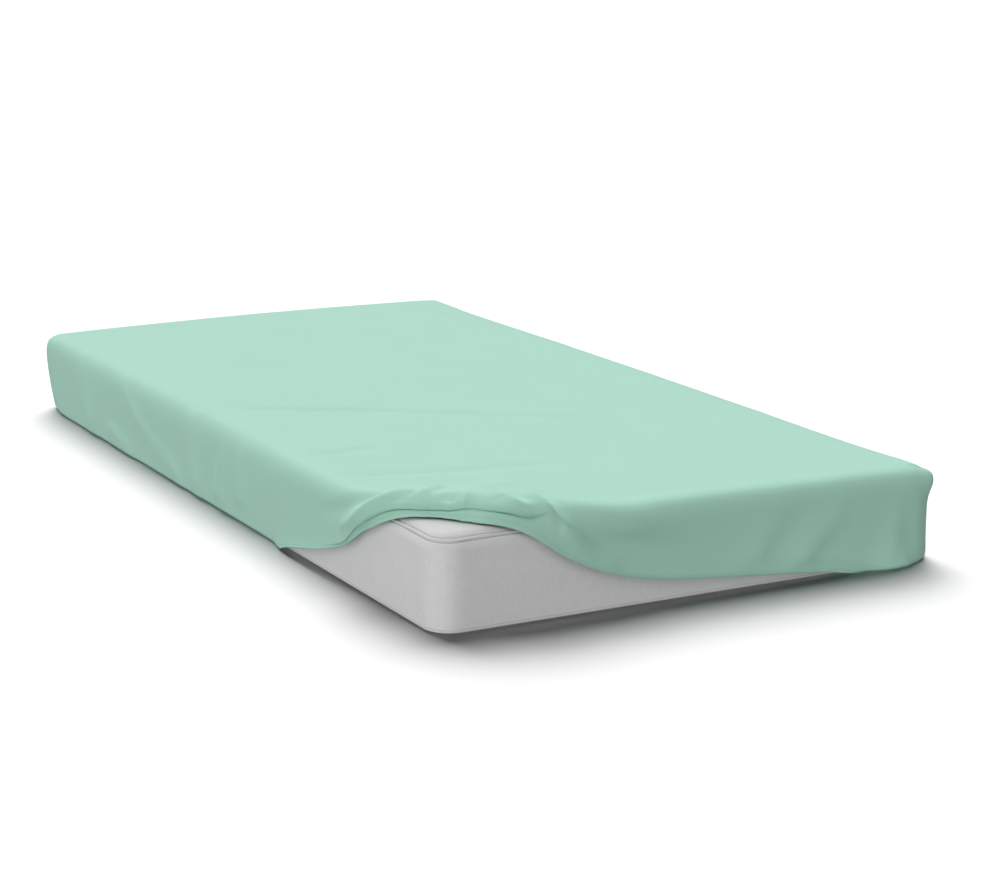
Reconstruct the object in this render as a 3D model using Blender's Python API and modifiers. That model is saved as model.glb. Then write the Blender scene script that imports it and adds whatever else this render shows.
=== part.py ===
"""A fitted sheet on a single mattress, with one corner of the sheet pulled up off it.

The frame's origin is on the floor under the middle of the mattress, X runs across its width and
Y along its length.  The lifted corner is the one at -X, -Y, and is called the near corner.

The cloth is laid out on two measures.  Its station is the way round the mattress's plan outline,
from the middle of the near corner and on towards +X.  Its drop is the way out over the top and
down the side, from where the rounded top edge begins, so it is negative on the top.  The rise is
how far the cloth stands off from where it would lie if it were tight.
"""
import math

import bmesh
import bpy
import numpy as np

# Mattress
WIDTH = 1.0
LENGTH = 2.0
BASE_Z = 0.0023
TOP_Z = 0.1677
PLAN_RADIUS = 0.05
SHOULDER_RADIUS = 0.03
BOTTOM_RADIUS = 0.008
CROWN_ACROSS = 0.006
CROWN_ALONG = 0.006
CROWN_CUTS_ACROSS = 4
CROWN_CUTS_ALONG = 8

# Pipings, half sunk into grooves in the mattress's seams
PIPING_RADIUS = 0.0032
PIPING_SINK = 0.0014
PIPING_CLEARANCE = 0.0003
TOP_PIPING_TILT = math.radians(49)
BOTTOM_PIPING_TILT = math.radians(135)
PIPING_ARC_STEPS = 6
PIPING_RUN_STEP = 0.16

# Sheet
CLOTH_THICKNESS = 0.002
CLOTH_TOP_Z = 0.169
CLOTH_WALL_OUT = 0.005
CLOTH_EDGE_RADIUS = 0.035
CLOTH_FOOT_RADIUS = 0.009
EDGE_EASE = 0.0035
FOOT_FADE = 0.03
PINCH_RISE = 0.009
PINCH_WIDTH = 0.017
PINCH_DROP = 0.035
PINCH_REACH = 0.05

# Mesh steps of the sheet
SPINE_HALF = 0.5
FLAT_STEPS = 5
EDGE_STEPS = 15
FINE_POINTS = 160
LENGTH_PER_STEP = 0.10
TURN_PER_STEP = math.radians(24)

# The hem's way round, where it leaves the tuck, climbs the side and crosses the near corner.
# From the hem inwards: a band of cloth lies on the mattress up to a crease, behind which the
# slack stands up in a roll, and sinks back to the flat of the top over its tail.
HEM_COLUMNS = ("station", "drop", "hem_rise", "crease_back", "crease_rise",
               "crest_back", "crest_rise", "tail_back")
HEM = (
    (-0.680, 0.231, 0.000, 0.020, 0.000, 0.150, 0.000, 0.280),
    (-0.640, 0.206, 0.005, 0.020, 0.005, 0.150, 0.001, 0.270),
    (-0.600, 0.188, 0.006, 0.015, 0.005, 0.140, 0.002, 0.250),
    (-0.563, 0.175, 0.005, 0.012, 0.004, 0.130, 0.002, 0.230),
    (-0.430, 0.145, 0.002, 0.010, 0.002, 0.110, 0.005, 0.200),
    (-0.344, 0.121, 0.002, 0.008, 0.003, 0.090, 0.007, 0.180),
    (-0.292, 0.099, 0.003, 0.008, 0.004, 0.078, 0.010, 0.170),
    (-0.243, 0.068, 0.004, 0.009, 0.005, 0.060, 0.015, 0.170),
    (-0.199, 0.053, 0.004, 0.011, 0.006, 0.062, 0.023, 0.180),
    (-0.164, 0.041, 0.004, 0.012, 0.007, 0.064, 0.029, 0.200),
    (-0.121, 0.022, 0.004, 0.013, 0.007, 0.070, 0.033, 0.230),
    (-0.069, -0.024, 0.004, 0.013, 0.007, 0.066, 0.034, 0.250),
    (0.000, -0.043, 0.004, 0.018, 0.008, 0.080, 0.033, 0.270),
    (0.060, -0.013, 0.004, 0.034, 0.009, 0.108, 0.031, 0.280),
    (0.124, 0.029, 0.006, 0.026, 0.009, 0.110, 0.028, 0.260),
    (0.160, 0.044, 0.006, 0.022, 0.009, 0.096, 0.025, 0.240),
    (0.199, 0.070, 0.005, 0.042, 0.008, 0.086, 0.020, 0.210),
    (0.243, 0.093, 0.004, 0.048, 0.006, 0.080, 0.014, 0.180),
    (0.286, 0.112, 0.005, 0.045, 0.004, 0.080, 0.012, 0.150),
    (0.350, 0.132, 0.007, 0.045, 0.003, 0.088, 0.010, 0.150),
    (0.420, 0.145, 0.006, 0.045, 0.002, 0.115, 0.006, 0.180),
    (0.567, 0.159, 0.005, 0.040, 0.003, 0.130, 0.002, 0.220),
    (0.732, 0.175, 0.008, 0.030, 0.007, 0.130, 0.001, 0.240),
    (0.795, 0.185, 0.010, 0.025, 0.009, 0.140, 0.002, 0.250),
    (0.830, 0.202, 0.006, 0.035, 0.011, 0.140, 0.003, 0.260),
    (0.870, 0.231, 0.000, 0.050, 0.013, 0.145, 0.002, 0.280),
    (0.905, 0.231, 0.000, 0.050, 0.010, 0.150, 0.001, 0.280),
    (0.960, 0.231, 0.000, 0.020, 0.000, 0.150, 0.000, 0.280),
)

# Soft folds: each runs in a line from one place on the tight cloth to another and rises above
# it, or sinks into its slack where the rise is negative
FOLD_COLUMNS = ("from_station", "from_drop", "to_station", "to_drop", "half_width", "rise")
FOLDS = (
    (0.163, -0.064, 0.208, 0.027, 0.015, 0.006),
    (0.208, 0.027, 0.277, 0.077, 0.014, 0.008),
    (0.052, -0.120, 0.184, 0.010, 0.014, 0.005),
    (-0.115, -0.085, -0.085, -0.065, 0.020, 0.004),
    (-0.040, -0.095, -0.030, -0.075, 0.018, -0.006),
    (-0.330, 0.090, -0.200, 0.010, 0.014, 0.004),
    (-0.300, 0.030, -0.240, -0.010, 0.016, -0.004),
    (-1.060, 0.050, -1.030, 0.150, 0.024, 0.003),
    (-1.110, 0.050, -1.090, 0.140, 0.022, 0.003),
    (-1.560, 0.030, -1.420, 0.160, 0.025, 0.003),
    (-1.720, 0.040, -1.640, 0.150, 0.025, 0.003),
    (0.640, 0.060, 0.560, 0.140, 0.030, 0.003),
    (0.780, 0.070, 0.690, 0.150, 0.030, 0.004),
    (1.500, 0.060, 1.420, 0.150, 0.040, 0.004),
    (2.300, 0.050, 2.380, 0.150, 0.040, 0.004),
    (-2.600, 0.165, -2.400, 0.165, 0.080, 0.014),
)

# Colours
SHEET_COLOUR = (0.33, 0.60, 0.50, 1.0)
PANEL_COLOUR = (0.72, 0.72, 0.72, 1.0)
PIPING_COLOUR = (0.82, 0.82, 0.82, 1.0)

QUARTER = PLAN_RADIUS * math.pi / 2
PERIMETER = 2 * (WIDTH + LENGTH - 4 * PLAN_RADIUS) + 4 * QUARTER
EDGE_END = CLOTH_EDGE_RADIUS * math.pi / 2
WALL_END = EDGE_END + CLOTH_TOP_Z - CLOTH_EDGE_RADIUS - CLOTH_FOOT_RADIUS - CLOTH_THICKNESS / 2
FOOT_END = WALL_END + CLOTH_FOOT_RADIUS * math.pi / 2
STRAIGHT_STATION = 1.5 * QUARTER + WIDTH + LENGTH / 2 - 3 * PLAN_RADIUS
CORNER_STATIONS = (WIDTH - 2 * PLAN_RADIUS + QUARTER,
                   WIDTH + LENGTH - 4 * PLAN_RADIUS + 2 * QUARTER,
                   2 * WIDTH + LENGTH - 6 * PLAN_RADIUS + 3 * QUARTER - PERIMETER)


def crown(x, y, z):
    """How far the soft filling lifts a point, most at the middle of the top and not at the floor."""
    across = CROWN_ACROSS * np.maximum(0.0, 1 - (2 * x / WIDTH) ** 2)
    along = CROWN_ALONG * np.maximum(0.0, 1 - (2 * y / LENGTH) ** 2)
    return (across + along) * (z / TOP_Z) ** 2


def read_table(rows, columns):
    """A table's columns by name."""
    return dict(zip(columns, np.array(rows).T))


def between_rows(at, places, values):
    """Values between a table's rows, on a curve that passes through them and never overshoots."""
    steps = np.diff(places)
    slopes = np.diff(values) / steps
    bends = np.zeros(len(places))
    same_way = slopes[:-1] * slopes[1:] > 0
    means = 2 * slopes[:-1] * slopes[1:] / np.where(same_way, slopes[:-1] + slopes[1:], 1.0)
    bends[1:-1] = np.where(same_way, means, 0.0)
    at = np.clip(at, places[0], places[-1])
    row = np.clip(np.searchsorted(places, at, side="right") - 1, 0, len(steps) - 1)
    t = (at - places[row]) / steps[row]
    start = (1 + 2 * t) * (1 - t) ** 2 * values[row] + t * (1 - t) ** 2 * steps[row] * bends[row]
    end = t * t * (3 - 2 * t) * values[row + 1] - t * t * (1 - t) * steps[row] * bends[row + 1]
    return start + end


def ease(t):
    """A smooth step from 0 to 1."""
    t = np.clip(t, 0.0, 1.0)
    return t * t * (3 - 2 * t)


def outline(station):
    """Plan points of the mattress's outline and the outward directions there."""
    way = (station + QUARTER / 2) % PERIMETER
    half = np.array((WIDTH / 2 - PLAN_RADIUS, LENGTH / 2 - PLAN_RADIUS))
    point = np.zeros(way.shape + (2,))
    out = np.zeros(way.shape + (2,))
    start = 0.0
    for corner, signs in enumerate(((-1, -1), (1, -1), (1, 1), (-1, 1))):
        run = (WIDTH, LENGTH)[corner % 2] - 2 * PLAN_RADIUS
        turned = np.clip((way - start) / PLAN_RADIUS, 0.0, math.pi / 2)
        angle = math.pi * (1 + corner / 2) + turned
        direction = np.stack((np.cos(angle), np.sin(angle)), axis=-1)
        onward = np.stack((-direction[..., 1], direction[..., 0]), axis=-1)
        passed = np.maximum(0.0, way - start - QUARTER)[..., None]
        here = (way >= start)[..., None]
        point = np.where(here, half * signs + PLAN_RADIUS * direction + passed * onward, point)
        out = np.where(here, direction, out)
        start += QUARTER + run
    return point, out


def lay(station, drop, rise):
    """Cloth points at a station and drop, standing off by the rise."""
    point, out = outline(station)
    edge = point - out * (CLOTH_EDGE_RADIUS - CLOTH_WALL_OUT)
    spine = np.stack((0 * edge[..., 0], np.clip(edge[..., 1], -SPINE_HALF, SPINE_HALF)), axis=-1)
    inward = (spine - edge) / np.linalg.norm(spine - edge, axis=-1, keepdims=True)
    turned = np.clip(drop / CLOTH_EDGE_RADIUS, 0.0, math.pi / 2)
    foot = np.clip((drop - WALL_END) / CLOTH_FOOT_RADIUS, 0.0, math.pi / 2)
    radius = CLOTH_EDGE_RADIUS + rise
    outward = radius * np.sin(turned) - CLOTH_FOOT_RADIUS * (1 - np.cos(foot))
    outward = outward - np.maximum(0.0, drop - FOOT_END)
    height = CLOTH_TOP_Z - CLOTH_EDGE_RADIUS + radius * np.cos(turned)
    height = height - np.clip(drop - EDGE_END, 0.0, WALL_END - EDGE_END)
    height = height - CLOTH_FOOT_RADIUS * np.sin(foot)
    plan = edge + out * outward[..., None] + inward * np.maximum(0.0, -drop)[..., None]
    height = height + crown(plan[..., 0], plan[..., 1], height)
    return np.concatenate((plan, height[..., None]), axis=-1)


def reach_of_top(station):
    """The way from the start of the rounded edge in to the middle of the top."""
    point, out = outline(station)
    edge = point - out * (CLOTH_EDGE_RADIUS - CLOTH_WALL_OUT)
    spine_y = np.clip(edge[..., 1], -SPINE_HALF, SPINE_HALF)
    return np.hypot(edge[..., 0], edge[..., 1] - spine_y)


def rise_of_roll(back, hem):
    """The stand-off of the band, the roll and its tail, by the way back from the hem."""
    on_band = np.clip(back / hem["crease_back"], 0.0, 1.0)
    band = hem["hem_rise"] + (hem["crease_rise"] - hem["hem_rise"]) * on_band
    on_face = (back - hem["crease_back"]) / (hem["crest_back"] - hem["crease_back"])
    climb = np.sin(math.pi / 2 * np.clip(on_face, 0.0, 1.0))
    face = (hem["crest_rise"] - hem["crease_rise"]) * climb
    on_tail = (back - hem["crest_back"]) / (hem["tail_back"] - hem["crest_back"])
    return (band + face) * (1 - ease(on_tail))


def rise_of_folds(station, drop):
    """The stand-off of the soft folds, fading to both sides of each one's line."""
    tight = lay(station, drop, 0 * drop)
    total = 0 * drop
    for row in FOLDS:
        fold = dict(zip(FOLD_COLUMNS, row))
        ends_station = np.array((fold["from_station"], fold["to_station"]))
        ends_drop = np.array((fold["from_drop"], fold["to_drop"]))
        start, end = lay(ends_station, ends_drop, 0 * ends_drop)
        along = (tight - start) @ (end - start) / np.dot(end - start, end - start)
        nearest = start + np.clip(along, 0.0, 1.0)[..., None] * (end - start)
        off_line = np.linalg.norm(tight - nearest, axis=-1) / fold["half_width"]
        total = total + fold["rise"] * np.exp(-off_line ** 2)
    return total


def rise_of_pinches(station, drop):
    """The stand-off of the pinched seams at the three corners that the sheet still holds."""
    total = 0 * drop
    for corner in CORNER_STATIONS:
        across = (station - corner) / PINCH_WIDTH
        down = (drop - PINCH_DROP) / PINCH_REACH
        total = total + PINCH_RISE * np.exp(-across ** 2 - down ** 2)
    return total


def pick_drops(station, hem):
    """Drops of a line's points: even over the flat of the top, then closer where the cloth turns.

    The turns are those of the same profile on a straight side, without the soft folds, so that
    the points of neighbouring lines lie abreast.
    """
    flat_end = hem["drop"] - hem["tail_back"]
    flat = np.linspace(-reach_of_top(station), flat_end, FLAT_STEPS, endpoint=False)
    fine = np.linspace(flat_end, hem["drop"], FINE_POINTS)
    points = lay(np.full(FINE_POINTS, STRAIGHT_STATION), fine, rise_of_roll(hem["drop"] - fine, hem))
    steps = np.diff(points, axis=0)
    lengths = np.linalg.norm(steps, axis=1)
    directions = steps / lengths[:, None]
    cosines = np.clip(np.sum(directions[:-1] * directions[1:], axis=1), -1.0, 1.0)
    share = lengths / LENGTH_PER_STEP
    share[1:] += np.arccos(cosines) / TURN_PER_STEP
    way = np.concatenate(((0.0,), np.cumsum(share)))
    return np.concatenate((flat, np.interp(np.linspace(0.0, way[-1], EDGE_STEPS + 1), way, fine)))


def line_of_cloth(station):
    """Points of the cloth from the middle of the top out to the hem."""
    table = read_table(HEM, HEM_COLUMNS)
    station = np.array(station)
    hem = {name: between_rows(station, table["station"], table[name]) for name in HEM_COLUMNS[1:]}
    drop = pick_drops(station, hem)
    place = np.full(drop.shape, station)
    rise = rise_of_roll(hem["drop"] - drop, hem)
    rise = rise + rise_of_folds(place, drop) + rise_of_pinches(place, drop)
    rise = np.maximum(rise, 0.0) * (1 - ease((drop - FOOT_END) / FOOT_FADE))
    edge_turn = np.clip(drop / CLOTH_EDGE_RADIUS, 0.0, math.pi / 2)
    return lay(place, drop, rise + EDGE_EASE * np.sin(2 * edge_turn) ** 2)


def run_stations(start, end, step):
    """Stations along a run, evenly set at about the step, with its end left to the next run."""
    count = max(1, round(abs(end - start) / step))
    return np.linspace(start, end, count, endpoint=False)


def sheet_stations():
    """Stations of the sheet's lines: close-set where it is lifted and at its corners.

    Over the straight middle of the top, the lines from both long sides meet in pairs.
    """
    half_arc = QUARTER / 2
    half_side = LENGTH / 2 - PLAN_RADIUS
    right_side = half_arc + WIDTH - 2 * PLAN_RADIUS + QUARTER
    far_side = right_side + 2 * half_side + QUARTER
    left_side = far_side + WIDTH - 2 * PLAN_RADIUS + QUARTER
    paired = np.concatenate((run_stations(-SPINE_HALF, -0.3, 0.034), run_stations(-0.3, SPINE_HALF, 0.1)))
    stations = (
        run_stations(-half_arc, half_arc, 0.016),
        run_stations(half_arc, 0.34, 0.02),
        run_stations(0.34, 0.46, 0.03),
        run_stations(0.46, 0.76, 0.05),
        run_stations(0.76, right_side - QUARTER, 0.03),
        run_stations(right_side - QUARTER, right_side, 0.013),
        run_stations(right_side, right_side + half_side - SPINE_HALF, 0.15),
        right_side + half_side + paired,
        run_stations(right_side + half_side + SPINE_HALF, far_side - QUARTER, 0.15),
        run_stations(far_side - QUARTER, far_side, 0.013),
        run_stations(far_side, left_side - QUARTER, 0.13),
        run_stations(left_side - QUARTER, left_side, 0.013),
        run_stations(left_side, left_side + half_side - SPINE_HALF, 0.09),
        (left_side + half_side - SPINE_HALF,),
        left_side + half_side - paired[:0:-1],
        run_stations(left_side + half_side + SPINE_HALF, PERIMETER - half_arc, 0.026),
    )
    return (np.concatenate(stations) + PERIMETER / 2) % PERIMETER - PERIMETER / 2


def new_object(name, mesh, collection, material=None):
    """An object for a mesh, in a collection, with its material."""
    made = bpy.data.objects.new(name, mesh)
    collection.objects.link(made)
    if material is not None:
        mesh.materials.append(material)
    return made


def make_material(name, colour, roughness):
    """A plain fabric finish."""
    material = bpy.data.materials.new(name)
    material.use_nodes = True
    shader = material.node_tree.nodes["Principled BSDF"]
    shader.inputs["Base Color"].default_value = colour
    shader.inputs["Roughness"].default_value = roughness
    shader.inputs["Metallic"].default_value = 0.0
    return material


def make_sheet(collection, material):
    """The sheet: its lines joined into one surface that is closed at the middle of the top."""
    lines = [line_of_cloth(station) for station in sheet_stations()]
    shape = bmesh.new()
    columns = [[shape.verts.new(point) for point in line] for line in lines]
    for column, onward in zip(columns, columns[1:] + columns[:1]):
        for row in range(FLAT_STEPS + EDGE_STEPS):
            shape.faces.new((column[row], column[row + 1], onward[row + 1], onward[row]))
    bmesh.ops.remove_doubles(shape, verts=shape.verts, dist=0.0001)
    mesh = bpy.data.meshes.new("fitted_sheet")
    shape.to_mesh(mesh)
    shape.free()
    mesh.shade_smooth()
    sheet = new_object("fitted_sheet", mesh, collection, material)
    wall = sheet.modifiers.new("cloth thickness", "SOLIDIFY")
    wall.thickness = CLOTH_THICKNESS
    wall.offset = 0.0
    return sheet


def edges_where(shape, test):
    """The edges whose two ends both pass a test."""
    return [edge for edge in shape.edges if all(test(vert.co) for vert in edge.verts)]


def is_upright(edge):
    """Whether an edge stands straight up."""
    low, high = (vert.co for vert in edge.verts)
    return abs(high.x - low.x) + abs(high.y - low.y) < 1e-6


def make_mattress(collection, material):
    """The mattress: a box with rounded corners and edges and a soft crown."""
    shape = bmesh.new()
    bmesh.ops.create_cube(shape, size=1.0)
    bmesh.ops.scale(shape, vec=(WIDTH, LENGTH, TOP_Z - BASE_Z), verts=shape.verts)
    bmesh.ops.translate(shape, vec=(0, 0, (TOP_Z + BASE_Z) / 2), verts=shape.verts)
    uprights = [edge for edge in shape.edges if is_upright(edge)]
    bmesh.ops.bevel(shape, geom=uprights, offset=PLAN_RADIUS, segments=8, profile=0.5, affect="EDGES")
    top = edges_where(shape, lambda co: co.z > TOP_Z - 1e-6)
    bmesh.ops.bevel(shape, geom=top, offset=SHOULDER_RADIUS, segments=6, profile=0.5, affect="EDGES")
    bottom = edges_where(shape, lambda co: co.z < BASE_Z + 1e-6)
    bmesh.ops.bevel(shape, geom=bottom, offset=BOTTOM_RADIUS, segments=3, profile=0.5, affect="EDGES")
    cut_for_crown(shape, 0, WIDTH, CROWN_CUTS_ACROSS)
    cut_for_crown(shape, 1, LENGTH, CROWN_CUTS_ALONG)
    for vert in shape.verts:
        vert.co.z += float(crown(vert.co.x, vert.co.y, vert.co.z - BASE_Z))
    mesh = bpy.data.meshes.new("mattress")
    shape.to_mesh(mesh)
    shape.free()
    mesh.shade_smooth()
    mesh.set_sharp_from_angle(angle=math.radians(40))
    return new_object("mattress", mesh, collection, material)


def cut_for_crown(shape, axis, size, cuts):
    """Slice the box at even steps along an axis, so that its top can be crowned."""
    for cut in range(1, cuts):
        place = [0.0, 0.0, 0.0]
        place[axis] = size * (cut / cuts - 0.5)
        normal = [0.0, 0.0, 0.0]
        normal[axis] = 1.0
        everything = shape.verts[:] + shape.edges[:] + shape.faces[:]
        bmesh.ops.bisect_plane(shape, geom=everything, plane_co=place, plane_no=normal)


def piping_path(tilt):
    """Points round the mattress along a seam on its top or bottom edge, tilted from straight up."""
    on_top = tilt < math.pi / 2
    radius = SHOULDER_RADIUS if on_top else BOTTOM_RADIUS
    centre_z = TOP_Z - radius if on_top else BASE_Z + radius
    inset = radius - (radius - PIPING_SINK) * math.sin(tilt)
    height = centre_z + (radius - PIPING_SINK) * math.cos(tilt)
    stations = []
    start = -QUARTER / 2
    for side in (WIDTH, LENGTH, WIDTH, LENGTH):
        arc = run_stations(start, start + QUARTER, QUARTER / PIPING_ARC_STEPS)
        run = run_stations(start + QUARTER, start + QUARTER + side - 2 * PLAN_RADIUS, PIPING_RUN_STEP)
        stations.extend((*arc, *run))
        start += QUARTER + side - 2 * PLAN_RADIUS
    point, out = outline(np.array(stations))
    plan = point - out * inset
    lifted = height + crown(plan[:, 0], plan[:, 1], height - BASE_Z)
    return np.column_stack((plan, lifted))


def make_cord(name, path, radius, collection, material=None):
    """A closed tube along a path."""
    curve = bpy.data.curves.new(name, "CURVE")
    curve.dimensions = "3D"
    curve.bevel_depth = radius
    curve.bevel_resolution = 2
    spline = curve.splines.new("POLY")
    spline.points.add(len(path) - 1)
    for knot, point in zip(spline.points, path):
        knot.co = (*point, 1.0)
    spline.use_cyclic_u = True
    return new_object(name, curve, collection, material)


def cut_groove(mattress, name, path, cutters):
    """Cut the seam that a piping lies in, with a little room round it."""
    cord = make_cord(name, path, PIPING_RADIUS + PIPING_CLEARANCE, cutters)
    graph = bpy.context.evaluated_depsgraph_get()
    cutter = new_object(name, bpy.data.meshes.new_from_object(cord.evaluated_get(graph)), cutters)
    bpy.data.objects.remove(cord)
    cutter.hide_render = True
    cutter.display_type = "WIRE"
    groove = mattress.modifiers.new(name, "BOOLEAN")
    groove.operation = "DIFFERENCE"
    groove.solver = "EXACT"
    groove.object = cutter


def main():
    for old in list(bpy.data.objects):
        bpy.data.objects.remove(old)
    part = bpy.data.collections.new("fitted sheet on a mattress")
    cutters = bpy.data.collections.new("cutters")
    bpy.context.scene.collection.children.link(part)
    bpy.context.scene.collection.children.link(cutters)
    sheet_cloth = make_material("sheet_cloth", SHEET_COLOUR, 0.9)
    panel_cloth = make_material("mattress_cloth", PANEL_COLOUR, 0.85)
    piping_cloth = make_material("piping_cloth", PIPING_COLOUR, 0.8)
    mattress = make_mattress(part, panel_cloth)
    for level, tilt in (("top", TOP_PIPING_TILT), ("bottom", BOTTOM_PIPING_TILT)):
        path = piping_path(tilt)
        cut_groove(mattress, level + "_groove", path, cutters)
        make_cord("mattress_" + level + "_piping", path, PIPING_RADIUS, part, piping_cloth)
    make_sheet(part, sheet_cloth)


main()
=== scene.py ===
"""A knitted fitted sheet on a single mattress, with one corner of the sheet pulled up off it.

The frame's origin is on the floor under the middle of the mattress, X runs across its width and
Y along its length.  The lifted corner is the one at -X, -Y, and is called the near corner.

The cloth is laid out on two measures.  Its station is the way round the mattress's plan outline,
from the middle of the near corner and on towards +X.  Its drop is the way out over the top and
down the side, from where the rounded top edge begins, so it is negative on the top.  The rise is
how far the cloth stands off from where it would lie if it were tight.
"""
import math

import bpy
import numpy as np
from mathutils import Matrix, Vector, geometry


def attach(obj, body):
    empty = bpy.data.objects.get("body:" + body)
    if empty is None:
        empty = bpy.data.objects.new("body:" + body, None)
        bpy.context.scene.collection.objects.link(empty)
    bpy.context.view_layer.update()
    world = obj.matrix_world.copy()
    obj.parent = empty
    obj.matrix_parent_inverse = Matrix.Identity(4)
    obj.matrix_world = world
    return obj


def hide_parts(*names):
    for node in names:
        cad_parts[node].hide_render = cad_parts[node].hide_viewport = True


bl_info = {
    "name": "Fitted sheet on a mattress",
    "version": (1, 0, 0),
    "blender": (4, 5, 0),
    "location": "View3D > Sidebar > Bedding",
    "description": "A knitted fitted sheet, with one corner pulled up off a single mattress",
    "category": "Object",
}

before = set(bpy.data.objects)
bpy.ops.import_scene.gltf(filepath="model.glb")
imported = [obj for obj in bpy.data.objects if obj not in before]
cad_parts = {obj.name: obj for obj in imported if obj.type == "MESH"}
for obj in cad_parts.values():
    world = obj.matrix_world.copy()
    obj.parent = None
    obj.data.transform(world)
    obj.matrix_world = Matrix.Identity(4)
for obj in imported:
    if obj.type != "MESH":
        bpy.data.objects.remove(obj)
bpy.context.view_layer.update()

# Mattress: its body, the crown of its soft filling and the bulge of its border
WIDTH = 1.0
LENGTH = 2.0
BASE_Z = 0.0023
TOP_Z = 0.1677
PLAN_RADIUS = 0.05
SHOULDER_RADIUS = 0.03
BOTTOM_RADIUS = 0.008
CROWN_ACROSS = 0.006
CROWN_ALONG = 0.006
BORDER_BULGE = 0.0012

# Its pipings in their sewn grooves, where a tilt is the turn from straight up round the edge
PIPING_RADIUS = 0.0032
PIPING_SINK = 0.0019
TOP_PIPING_TILT = math.radians(49)
BOTTOM_PIPING_TILT = math.radians(135)
GROOVE_DEPTH = 0.0042
GROOVE_HALF = 0.0040

# How far its top gives under the sheet, once past BARED_RADIUS from the bared corner
COVERED_SINK = 0.006
BARED_RADIUS = 0.16
COVERED_FADE = 0.14

# Insets of its rows on the top panel and the base.  Past PANEL_INSET they close in on a spine
# along the middle, which ends SPINE_HALF either side of the centre.
PANEL_INSET = 0.035
PANEL_INSETS = (0.30, 0.20, 0.14, 0.10, 0.075, 0.06, 0.05, 0.042, 0.036)
BASE_INSETS = (0.012, 0.02, 0.05, 0.15)
SPINE_HALF = 0.5

# Sheet, where it is tight: its top, its rounded edge, its side and its foot under the mattress
CLOTH_TOP_Z = 0.169
CLOTH_WALL_OUT = 0.005
CLOTH_EDGE_RADIUS = 0.035
CLOTH_FOOT_RADIUS = 0.009
FOOT_DROP_SPARE = 0.001
FOOT_FADE = 0.03
EDGE_EASE = 0.0020

# How far the sheet squeezes the top edges, save near the bared corner and the held ones
EDGE_SINK = 0.0068
FAR_EDGE_SINK = 0.0072
EDGE_SINK_DROP = 0.0275
EDGE_SINK_REACH = 0.030
EDGE_HOLD = 0.16
BARED_REACH = 0.35

# The ear that the cloth pinches up into at each held corner, and the pull inwards at its foot
PINCH_WIDTH = 0.013
PINCH_DROP = 0.040
PINCH_REACH_UP = 0.012
PINCH_REACH_DOWN = 0.028
PULL_WIDTH = 0.075
PULL_HEIGHT = 0.15
PULL_FADE = 0.12

# The corner seams, and the stitches beside them and along the hem
SEAM_HALF = 0.0022
SEAM_DEPTH = 0.0016
SEAM_TOP = 0.004
SEAM_FADE = 0.02
SEAM_FADE_START = 0.012
SEAM_STITCH_OFF = 0.0055
STITCHED_HEM = (-0.63, 0.84)
HEM_INSET_SHARE = 0.55

# The hem leaves the tuck, climbs the side and crosses the near corner.  From the hem inwards, a
# band of cloth lies on the mattress up to a crease, behind which the slack stands up in a roll
# and sinks back to the flat of the top over its tail.  First, the hem's line and the crease
HEM_COLUMNS = ("station", "drop", "crease_back", "crease_rise")
HEM = (
    (-0.68, 0.231, 0.02, 0.0), (-0.64, 0.206, 0.018, 0.003), (-0.6, 0.188, 0.014, 0.008),
    (-0.563, 0.175, 0.01, 0.008), (-0.43, 0.145, 0.006, 0.007), (-0.344, 0.121, 0.004, 0.008),
    (-0.318, 0.1115, 0.004, 0.009), (-0.292, 0.099, 0.0055, 0.01),
    (-0.267, 0.0845, 0.0098, 0.011), (-0.243, 0.07, 0.0102, 0.012),
    (-0.1993, 0.0519, 0.011, 0.009), (-0.1773, 0.0426, 0.0117, 0.0093),
    (-0.159, 0.0346, 0.0118, 0.0097), (-0.1431, 0.0273, 0.011, 0.01),
    (-0.1291, 0.0204, 0.0097, 0.01), (-0.1168, 0.0134, 0.0091, 0.01),
    (-0.1067, 0.0059, 0.0085, 0.01), (-0.0975, -0.0041, 0.007, 0.01),
    (-0.0825, -0.0172, 0.0056, 0.0103), (-0.0659, -0.0298, 0.0048, 0.0108),
    (-0.0479, -0.042, 0.0056, 0.0117), (-0.0169, -0.0513, 0.0045, 0.0133),
    (0.0193, -0.0485, 0.0052, 0.0155), (0.0494, -0.034, 0.0085, 0.0178),
    (0.068, -0.0176, 0.0092, 0.0187), (0.0856, -0.0016, 0.0085, 0.0195),
    (0.0947, 0.0075, 0.007, 0.0198), (0.1043, 0.0136, 0.0068, 0.02),
    (0.1247, 0.0239, 0.0096, 0.02), (0.145, 0.0342, 0.0142, 0.0165),
    (0.1658, 0.0449, 0.02, 0.0135), (0.1882, 0.0583, 0.032, 0.0115),
    (0.1995, 0.0674, 0.0395, 0.012), (0.243, 0.093, 0.048, 0.014), (0.286, 0.112, 0.045, 0.01),
    (0.35, 0.132, 0.045, 0.009), (0.42, 0.145, 0.045, 0.008), (0.567, 0.159, 0.04, 0.007),
    (0.732, 0.175, 0.03, 0.011), (0.795, 0.185, 0.025, 0.013), (0.83, 0.202, 0.035, 0.011),
    (0.87, 0.231, 0.05, 0.013), (0.905, 0.231, 0.05, 0.01), (0.96, 0.231, 0.02, 0.0),
)

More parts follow.
